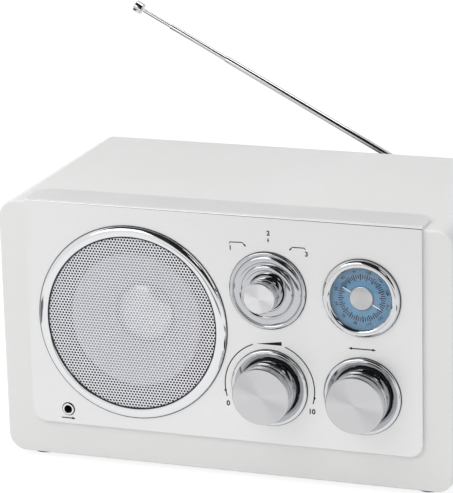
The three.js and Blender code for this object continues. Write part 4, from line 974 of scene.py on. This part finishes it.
def knob(name):
    """Chromed shell with a fine groove behind a collar, and a spun cap let into its face."""
    node = f"{name}_knob"
    outer, front, back = sizes(node)
    start = front + KNOB_COLLAR
    bottom = outer - 0.3
    groove = [(outer, start), (bottom, start + 0.2), (bottom, start + 0.35), (outer, start + 0.55)]
    web = front + KNOB_WALL
    inside = outer - KNOB_WALL
    shell = [(0, front), (outer, front), *groove, (outer, back), (inside, back), (inside, web)]
    profile = [*shell, *hub(web, back, KNOB_HUB)]
    add_turned(f"{name}_knob_shell", profile, node, ABS_CHROME_PAINTED_DARKER, "chrome", 0.1, 192, body=name)
    cap(name, SPUN)


def selector_knob():
    """Smaller chromed shell, tapered towards its face."""
    node = "selector_knob"
    base_radius, front, back = sizes(node)
    face_radius = radius("selector_knob_cap")
    web = front + KNOB_WALL
    outside = [(0, front), (face_radius, front), (base_radius, back)]
    inside = [(base_radius - SELECTOR_WALL, back), (face_radius - SELECTOR_WALL, web)]
    profile = [*outside, *inside, *hub(web, back, SELECTOR_HUB)]
    add_turned(f"{node}_shell", profile, node, ABS_CHROME_PAINTED_DARKER, "chrome", 0.12, 128, body="selector")
    # The selector's face takes the lighter copy of the spun aluminium: painted light.
    cap("selector", SPUN_PAINTED_LIGHTER)


def polar_map(piece, node):
    """A UV map that runs round a node's middle in U and outwards in V, in metres, for turned metal."""
    centre = middle(node)
    layer = piece.data.uv_layers.new(name="turning")
    for polygon in piece.data.polygons:
        corners = [piece.data.vertices[v].co for v in polygon.vertices]
        angles = [math.atan2(p.z - centre.z, p.x - centre.x) for p in corners]
        if max(angles) - min(angles) > math.pi:
            angles = [a + 2 * math.pi if a < 0 else a for a in angles]
        for loop, point, angle in zip(polygon.loop_indices, corners, angles):
            length = math.hypot(point.x - centre.x, point.z - centre.z)
            layer.data[loop].uv = (angle / (2 * math.pi), length)


def spun_disc(name, profile, node, finish, steps, body):
    """A turned piece of spun aluminium, with the map that its tool marks follow."""
    slot = "spun_aluminium"
    piece = add_turned(name, profile, node, finish, slot, 0, steps, body=body, smooth=25)
    polar_map(piece, node)


def cap(name, finish):
    """Spun aluminium disc with a bright chamfer."""
    node = f"{name}_knob_cap"
    outer, front, back = sizes(node)
    rings = [(outer * i / 12, front) for i in range(12)]
    edge = [(outer - CHAMFER, front), (outer, front + CHAMFER), (outer, back), (0, back)]
    spun_disc(f"{name}_knob_face", [*rings, *edge], node, finish, 128, name)


# ---- Dial ----


def dial():
    """Clear window, blue disc under it, and the spun hub that carries the needle."""
    node = "dial_lens"
    outer, front, back = sizes(node)
    add_turned("dial_window", rod(outer, front, back), node, ACRYLIC, "clear_plastic", 0.1, 128)

    node = "dial_scale"
    outer, front, back = sizes(node)
    web = front + 0.8
    bore = 1.8
    inside = outer - 1
    rim_points = [(bore, front), (outer, front), (outer, back), (inside, back)]
    disc = [*rim_points, (inside, web), (bore, web)]
    add_turned("dial_disc", disc, node, DIAL_BLUE, "blue_plastic", 0, 128)

    node = "dial_hub"
    outer, front, back = sizes(node)
    rings = [(outer * i / 8, front) for i in range(8)]
    edge = [(outer - 0.2, front), (outer, front + 0.2), (outer, front + 0.5)]
    boss = [(3, front + 0.5), (3, front + 0.8), (1.5, front + 0.8), (1.5, back), (0, back)]
    # The hub takes the darker copy of the spun aluminium: painted shade.
    spun_disc("dial_hub_disc", [*rings, *edge, *boss], node, SPUN_PAINTED_DARKER, 96, "pointer")


def pointer():
    """White moulded needle, tapered to both ends, on a collar behind the hub."""
    node = "dial_pointer"
    centre = middle(node)
    low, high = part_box(node)
    front, back = depth(node)
    reach = Vector((high.x - low.x, high.z - low.z)).length / 2 / MM - 0.4
    slope = math.atan2(high.z - low.z, high.x - low.x)
    end, waist = 0.17, 0.34
    needle = bmesh.new()
    below = [(-reach, -end), (0, -waist), (reach, -end)]
    flat(needle, [*below, *[(-x, -z) for x, z in below]])
    thickened(needle, back - front)
    place = Matrix.Translation((centre.x, FRONT + front * MM, centre.z))
    placed(needle, place @ Matrix.Rotation(slope, 4, "Y"))
    collar = turned(tube(3.3, 4.4, front, back), node, 0, 64)
    shape = merged(needle, collar)
    add_piece("dial_needle", shape, WHITE_ABS, "white_plastic", node, "pointer")


# ---- Printing ----


def round_path(centre, size_radius, start, end, steps=32):
    """Points along a circle, with angles in degrees counted anticlockwise from the right."""
    x, z = centre
    return [(x + a, z + b) for a, b in arc(0, 0, size_radius, size_radius, start, end, steps)]


def on_circle(centre, size_radius, angle):
    return round_path(centre, size_radius, angle, angle, 1)[0]


def stroke(shape, points, width):
    """An inked line through (x, z) points in millimetres, as a ribbon of quads."""
    sides = []
    for i, (x, z) in enumerate(points):
        before = Vector(points[max(i - 1, 0)])
        after = Vector(points[min(i + 1, len(points) - 1)])
        run = (after - before).normalized() * width / 2
        edges = [((x + s * run.y) * MM, 0, (z - s * run.x) * MM) for s in (-1, 1)]
        sides.append([shape.verts.new(edge) for edge in edges])
    for (a, b), (c, d) in zip(sides, sides[1:]):
        shape.faces.new((a, c, d, b))


def arrowhead(shape, tip, direction, length=1.7, width=1.3):
    """A filled triangle that points in a direction, in degrees."""
    angle = math.radians(direction)
    run = Vector((math.cos(angle), math.sin(angle)))
    across = Vector((-run.y, run.x)) * width / 2
    base = Vector(tip) - run * length
    flat(shape, (Vector(tip), base + across, base - across))


def numeral(shape, text, place, height, turn=0):
    """A number cut from the plain font, its middle at a place and its foot turned, in degrees."""
    curve = bpy.data.curves.new("numeral", "FONT")
    curve.body = text
    curve.size = height / 0.7 * MM
    curve.offset = height * 0.05 * MM
    curve.align_x = "CENTER"
    curve.align_y = "CENTER"
    written = linked("numeral", curve)
    bpy.context.view_layer.update()
    filled = written.evaluated_get(bpy.context.evaluated_depsgraph_get())
    mesh = bpy.data.meshes.new_from_object(filled)
    upright = Matrix.Rotation(math.pi / 2, 4, "X") @ Matrix.Rotation(math.radians(turn), 4, "Z")
    mesh.transform(Matrix.Translation((place[0] * MM, 0, place[1] * MM)) @ upright)
    shape.from_mesh(mesh)
    bpy.data.objects.remove(written)
    bpy.data.curves.remove(curve)
    bpy.data.meshes.remove(mesh)


def print_on(shape, name, where, material):
    """Gives flat ink its thickness and lays it on a face whose middle is given."""
    thickened(shape, PRINT_THICKNESS)
    moved(shape, where.x, where.y - PRINT_THICKNESS * MM, where.z)
    add_piece(name, shape, material, None)


def panel_printing():
    """Numbers, arcs and arrows round the controls, with plain symbols for louder and for turning."""
    shape = bmesh.new()
    base = Vector((0, PANEL_FACE, CABINET_LOW.z))

    def from_base(node, x, z):
        """A point that stands off a node's middle, in millimetres from the base."""
        at = (middle(node) - base) / MM
        return at.x + x, at.z + z

    volume = from_base("volume_knob", 0, 0)
    for side, start, end in ((-1, 111, 196), (1, 69, -16)):
        stroke(shape, round_path(volume, ARC_RADIUS, start, end), LINE_WIDTH)
        tip = on_circle(volume, ARC_RADIUS, end + side * 4)
        arrowhead(shape, tip, end - side * 90)
    for text, angle in (("0", 205), ("10", -26)):
        numeral(shape, text, on_circle(volume, ARC_RADIUS + 0.8, angle), PANEL_TEXT_HEIGHT)
    flat(shape, [from_base("volume_knob", x, z) for x, z in ((-6, 20.2), (6, 20.2), (6, 22))])

    brackets = (
        ("1", (-17.2, 18.5), ((-17.4, 20.4), (-17.4, 21.2), (-11.6, 21.4), (-10.2, 20)), -48),
        ("2", (0.7, 26.4), ((0.6, 24.2), (0.6, 22.8)), -90),
        ("3", (18.3, 18.1), ((17.9, 20.2), (17.3, 20.9), (11.8, 20.9), (10.7, 19.7)), -132),
    )
    for text, place, path, direction in brackets:
        numeral(shape, text, from_base("selector_knob", *place), 2.1)
        points = [from_base("selector_knob", *point) for point in path]
        stroke(shape, points, LINE_WIDTH * 0.9)
        arrowhead(shape, on_circle(points[-1], 0.7, direction), direction, 1.3, 1.0)

    left, right = (from_base("tuning_knob", x, 21.9) for x in (-5.4, 5.4))
    stroke(shape, [left, right], LINE_WIDTH)
    arrowhead(shape, (left[0] - 1, left[1]), 180)
    arrowhead(shape, (right[0] + 1, right[1]), 0)

    start, end = (from_base("aux_ring", x, -4.4) for x in (-3.6, 2.4))
    stroke(shape, [start, end], LINE_WIDTH)
    arrowhead(shape, (end[0] + 1, end[1]), 0)
    print_on(shape, "panel_print", base, BLACK_INK)


def dial_printing():
    """Navy ticks all round the dial, with plain frequencies for two bands above and below."""
    shape = bmesh.new()
    for i in range(TICKS):
        angle = 360 / TICKS * (i + 0.5)
        inner, outer, width = SHORT_TICK if i % 3 else LONG_TICK
        stroke(shape, [on_circle((0, 0), r, angle) for r in (inner, outer)], width)
    for texts, first, pitch in BANDS:
        for i, text in enumerate(texts):
            angle = first + pitch * i
            turn = angle - 90 if pitch < 0 else angle + 90
            place = on_circle((0, 0), DIAL_TEXT_RADIUS, angle)
            numeral(shape, text, place, DIAL_TEXT_HEIGHT, turn)
    centre = middle("dial_scale")
    centre.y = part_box("dial_scale")[0].y
    print_on(shape, "dial_print", centre, NAVY_INK)


# ---- Antenna, built upright round its hinge and then leaned ----


def reach(node, size_radius):
    """Start and end of a straight antenna piece along the mast, in millimetres from the hinge."""
    low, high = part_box(node)
    tilt = abs(MAST_AXIS.x)
    side = size_radius * abs(MAST_AXIS.z)
    return ((HINGE.x - high.x) / MM + side) / tilt, ((HINGE.x - low.x) / MM - side) / tilt


def mast_piece(name, profile, rounding, body, node):
    """A nickelled piece turned round the mast's axis, its heights counted from the hinge."""
    upright = placed(spun(profile, rounding, 48), LEAN @ Matrix.Rotation(math.pi / 2, 4, "X"))
    add_piece(name, upright, NICKEL, "chrome", node, body)


def cross_pin(size_radius, half_length, rounding):
    """A pin along the hinge's axis."""
    shape = spun(rod(size_radius, -half_length, half_length), rounding, 32)
    return placed(shape, Matrix.Rotation(math.pi / 2, 4, "Z"))


def flat_bar(outline, low, high):
    """A plate across the hinge, from an outline of (depth, height) points."""
    shape = bmesh.new()
    shape.faces.new([shape.verts.new((low * MM, y * MM, z * MM)) for y, z in outline])
    thickened(shape, high - low, 0)
    bevel(shape, rim(shape, 0, low * MM) + rim(shape, 0, high * MM), 0.25, 2)
    return shape


def antenna():
    """Foot, turntable with a fork and its pin, and a mast of two tubes, a rod and a tip."""
    node = "antenna_base"
    outer, front, back = sizes(node)
    face = CABINET_BACK
    shaft = [(0, front), (STEM_RADIUS, front), (STEM_RADIUS, face)]
    profile = [*shaft, (outer, face), (outer, back), (0, back)]
    add_turned("antenna_foot", profile, node, BLACK_ABS, "black_plastic", 0.35, 64)

    half = FORK_HALF
    table = spun(rod(*TURNTABLE), 0.3, 64)
    cheek = [(-half, -3.5), *arc(0, 0, EYE_RADIUS, EYE_RADIUS, -90, 90, 12), (-half, 3.5)]
    cheeks = [flat_bar(cheek, low, high) for low, high in CHEEKS]
    shape = placed(merged(table, *cheeks, cross_pin(*HINGE_PIN, 0.15)), LEAN)
    add_piece("antenna_turntable", shape, CHROME, "chrome", "antenna_swivel", "antenna_turntable")

    half = OUTER_TUBE
    eye_outline = [*arc(0, 0, EYE_RADIUS, EYE_RADIUS, 180, 360, 12), (half, 5.7), (-half, 5.7)]
    eye = carved(flat_bar(eye_outline, *EYE), cross_pin(1.2, 2, 0))
    add_piece("antenna_eye", placed(eye, LEAN), CHROME, "chrome", body="antenna_mast")

    node = "antenna_outer_tube"
    _, end = reach(node, OUTER_TUBE)
    bore = OUTER_TUBE - TUBE_WALL
    solid_end = [(0, MAST_START), (OUTER_TUBE, MAST_START), (OUTER_TUBE, end)]
    profile = [*solid_end, (bore, end), (bore, BORE_FLOOR), (0, BORE_FLOOR)]
    mast_piece("antenna_tube", profile, 0.07, "antenna_mast", node)

    node = "antenna_middle_tube"
    start, end = reach(node, MIDDLE_TUBE)
    profile = tube(MIDDLE_TUBE - TUBE_WALL, MIDDLE_TUBE, start, end)
    mast_piece("antenna_stage", profile, 0.07, "antenna_middle", node)

    node = "antenna_inner_rod"
    mast_piece("antenna_wire", rod(INNER_ROD, *reach(node, INNER_ROD)), 0.1, "antenna_rod", node)

    node = "antenna_tip"
    low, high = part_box(node)
    tip_radius = (high.y - low.y) / 2 / MM - 0.05
    profile = rod(tip_radius, *reach(node, tip_radius - 0.25))
    mast_piece("antenna_knob", profile, 0.6, "antenna_rod", node)


# ---- Back ----


def back_cover():
    """Black moulded cover with two groups of vent slots, in the cabinet's rebate."""
    shape = rounded_box(COVER_LOW, COVER_HIGH, 3, 8)
    bevel(shape, rim(shape, 1, COVER_HIGH.y), 0.5, 3)
    past = 0.004
    ends = (COVER_LOW.y - past, COVER_HIGH.y + past)
    cutters = []
    for group in (-SLOT_GROUP, SLOT_GROUP):
        for i in range(6):
            x = group + (i - 2.5) * SLOT_PITCH
            place = Vector((x * MM, 0, CABINET_HIGH.z - SLOT_DROP * MM))
            cutters.append(round_ended(place, *SLOT_SIZE, *ends))
    for node in SCREWS:
        cutters.append(peg(middle(node), SCREW_HOLE, *THROUGH_COVER, 24))
    cutters.append(peg(middle("antenna_base"), STEM_HOLE, *THROUGH_COVER, 32))
    cutters.append(round_ended(middle("mains_inlet"), *INLET_HOLE, *ends))
    shape = carved(shape, *cutters)
    add_piece("cover_sheet", shape, BLACK_ABS, "black_plastic", "back_cover", weighted=True)


def cover_screws():
    """Pan heads with a cross recess."""
    for node in SCREWS:
        centre = middle(node)
        outer, front, back = sizes(node)
        head = CABINET_BACK
        dome = arc(0, head, outer, back - head - 0.02, 8, 90, 10)
        tip = [(0, front), (SCREW_POINT, front), (SCREW_THREAD, front + 2)]
        profile = [*tip, (SCREW_THREAD, head), (outer, head), *dome]
        shape = turned(profile, node, 0, steps=48)
        where = Matrix.Translation((centre.x, FRONT + back * MM, centre.z))
        recess = []
        for turn in (35, 125):
            blade = box(-SCREW_RECESS, SCREW_RECESS + Vector((0, 0.1 * MM, 0)))
            recess.append(placed(blade, where @ Matrix.Rotation(math.radians(turn), 4, "Y")))
        add_piece(f"{node}_head", carved(shape, *recess), STEEL, "steel", node)


def mains_inlet():
    """Two-pin inlet: a flange on the cover, a hollow body inside and two round pins."""
    low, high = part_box("mains_inlet")
    centre = (low + high) / 2
    flange = rounded_box((low.x, CABINET_HIGH.y, low.z), high, 2, 6)
    bevel(flange, rim(flange, 1, high.y), 0.4, 3)
    across, up = (size / 2 * MM for size in INLET_BODY)
    body_high = (centre.x + across, CABINET_HIGH.y, centre.z + up)
    body = rounded_box((centre.x - across, low.y, centre.z - up), body_high, 2, 6)
    ends = (low.y + INLET_FLOOR * MM, high.y + INLET_FLOOR * MM)
    halves = [carved(each, round_ended(centre, *INLET_MOUTH, *ends)) for each in (flange, body)]
    start = (low.y - FRONT) / MM + INLET_FLOOR - 0.5
    pins = []
    for side in (-1, 1):
        place = centre + Vector((side * PIN_SPREAD * MM, 0, 0))
        pins.append(peg(place, PIN_RADIUS, start, start + PIN_LENGTH, 32))
    shape = merged(*halves)
    add_piece("inlet_shell", shape, BLACK_ABS, "black_plastic", "mains_inlet", weighted=True)
    add_piece("inlet_pins", merged(*pins), STEEL, "steel")


def jack():
    """Nickel-bright nut round the socket's dark bore."""
    node = "aux_ring"
    outer, front, back = sizes(node)
    add_turned("jack_nut", tube(1.9, outer, front, back), node, CHROME, "chrome", 0.2, 64)


def finish_cad_nodes():
    for material, *nodes in KEPT:
        for node in nodes:
            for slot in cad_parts[node].material_slots:
                slot.material = material


# ---- Studio ----


def camera():
    angles = (CAMERA_AZIMUTH, CAMERA_ELEVATION, CAMERA_ROLL)
    azimuth, elevation, roll = (math.radians(angle) for angle in angles)
    away = math.cos(elevation)
    back = Vector((math.sin(azimuth) * away, -math.cos(azimuth) * away, math.sin(elevation)))
    level = Vector((math.cos(azimuth), math.sin(azimuth), 0))
    upward = back.cross(level)
    right = math.cos(roll) * level + math.sin(roll) * upward
    up = math.cos(roll) * upward - math.sin(roll) * level
    data = bpy.data.cameras.new("camera")
    data.lens = CAMERA_LENS
    data.sensor_fit = "HORIZONTAL"
    data.sensor_width = 36
    data.clip_start = 0.01
    made = linked("camera", data)
    turn = Matrix((right, up, back)).transposed().to_4x4()
    made.matrix_world = Matrix.Translation(CAMERA_AIM + CAMERA_DISTANCE * back) @ turn
    bpy.context.scene.camera = made


def facing(place, target, front):
    """Where an object stands whose front, Z or -Z, is turned towards a target."""
    turn = (Vector(target) - Vector(place)).to_track_quat(front, "Y")
    return Matrix.Translation(place) @ turn.to_matrix().to_4x4()


def lamp(name, place, width, height, watts):
    """An area lamp that faces the radio."""
    data = bpy.data.lights.new(name, "AREA")
    data.shape = "RECTANGLE"
    data.size = width
    data.size_y = height
    data.energy = watts
    made = linked(name, data)
    made.matrix_world = facing(place, LAMP_AIM, "-Z")


def sheet(name, place, target, width, height, material):
    """A flat rectangle of the studio that faces a point."""
    shape = bmesh.new()
    bmesh.ops.create_grid(shape, x_segments=1, y_segments=1, size=0.5)
    bmesh.ops.scale(shape, verts=shape.verts, vec=(width, height, 1))
    made = solid(name, placed(shape, facing(place, target, "Z")))
    made.data.materials.append(material)
    return made


def mirrored_card(name, place, target, width, height, material):
    """A card that gives bright metal its streaks, and that neither shows nor shades anything."""
    made = sheet(name, place, target, width, height, material)
    for rays in ("camera", "diffuse", "transmission", "volume_scatter", "shadow"):
        setattr(made, f"visible_{rays}", False)


def card_paint(name, colour, glow=0.0):
    """Matt card, or one that glows."""
    paint = {
        "Base Color": linear(colour),
        "Roughness": 0.9,
        "Emission Color": linear(colour),
        "Emission Strength": glow,
    }
    made, _, _ = new_material(name, paint)
    return made


def seen_or_mirrored(tree):
    """1 for rays from the camera, from mirrors and through clear parts, 0 for those that light."""
    rays = add_node(tree, "ShaderNodeLightPath", {})
    seen = rays.outputs["Is Camera Ray"]
    for kind in ("Is Glossy Ray", "Is Transmission Ray"):
        pair = {0: seen, 1: rays.outputs[kind]}
        seen = add_node(tree, "ShaderNodeMath", pair, operation="MAXIMUM").outputs["Value"]
    return seen


def floor_paint():
    """Matt white floor: it shows mostly as plain white, and the rest of it takes the shadow."""
    paint = {"Base Color": linear("#f7f7f7"), "Roughness": 0.9}
    made, tree, shader = new_material("floor_paint", paint)
    glow = add_node(tree, "ShaderNodeEmission", {"Color": WHITE, "Strength": FLOOR_GLOW})
    parts = {0: seen_or_mirrored(tree), 1: FLOOR_GLOW_SHARE}
    share = add_node(tree, "ShaderNodeMath", parts, operation="MULTIPLY")
    choice = {0: share.outputs["Value"], 1: shader.outputs["BSDF"], 2: glow.outputs["Emission"]}
    shown = add_node(tree, "ShaderNodeMixShader", choice)
    set_inputs(tree, tree.nodes["Material Output"], {"Surface": shown.outputs["Shader"]})
    return made


def surroundings():
    """White wherever the world shows or is mirrored, and a softer white where it lights."""
    world = bpy.data.worlds.new("studio")
    bpy.context.scene.world = world
    world.use_nodes = True
    tree = world.node_tree
    lighting = tree.nodes["Background"]
    set_inputs(tree, lighting, {"Color": WHITE, "Strength": WORLD_STRENGTH})
    plain = add_node(tree, "ShaderNodeBackground", {"Color": WHITE, "Strength": 1.0})
    choice = {0: seen_or_mirrored(tree), 1: lighting.outputs[0], 2: plain.outputs[0]}
    shown = add_node(tree, "ShaderNodeMixShader", choice)
    set_inputs(tree, tree.nodes["World Output"], {"Surface": shown.outputs["Shader"]})


def studio():
    surroundings()
    lamp("key", (-0.5, -1.0, 1.05), 1.1, 0.9, KEY_WATTS)
    lamp("top", (0.0, 0.1, 1.5), 1.0, 1.0, TOP_WATTS)
    sheet("floor", (0, 0, 0), (0, 0, 1), FLOOR_SIZE, FLOOR_SIZE, floor_paint())
    black = card_paint("black_card", "#08080a")
    slate = card_paint("slate_card", "#6c6c6f")
    light = card_paint("light_card", "#a8a8aa")
    white = card_paint("white_card", "#ffffff", 1.0)
    radio = LAMP_AIM
    # Cards that stand round the radio
    mirrored_card("upper_flag", (0.4, -0.98, 0.72), radio, 1.4, 1.2, black)
    mirrored_card("overhead_flag", (-0.15, -0.35, 1.15), radio, 1.4, 1.2, black)
    mirrored_card("back_flag", (0.0, 1.1, 0.45), radio, 1.3, 0.6, light)
    mirrored_card("window", (0.53, -0.87, 0.7), radio, 0.2, 0.24, white)
    # Cards that lie on the floor
    mirrored_card("left_flag", (-0.36, -0.02, 0.002), (-0.36, -0.02, 1), 0.2, 0.5, slate)
    mirrored_card("far_flag", (0.0, -0.55, 0.002), (0.0, -0.55, 1), 0.36, 0.26, slate)
    mirrored_card("right_flag", (0.21, -0.2, 0.003), (0.21, -0.2, 1), 0.05, 0.12, black)


camera()
studio()
cabinet()
front_panel()
panel_back()
feet()
speaker_ring()
grille()
cone()
dust_cap()
surround()
for control in ("volume", "tuning"):
    knob_ring(control)
selector_ring()
dial_ring()
shade_rings()
washers()
for control in ("volume", "tuning"):
    knob(control)
selector_knob()
dial()
pointer()
panel_printing()
dial_printing()
jack()
antenna()
back_cover()
cover_screws()
mains_inlet()
finish_cad_nodes()

bpy.context.scene.view_settings.view_transform = "Standard"
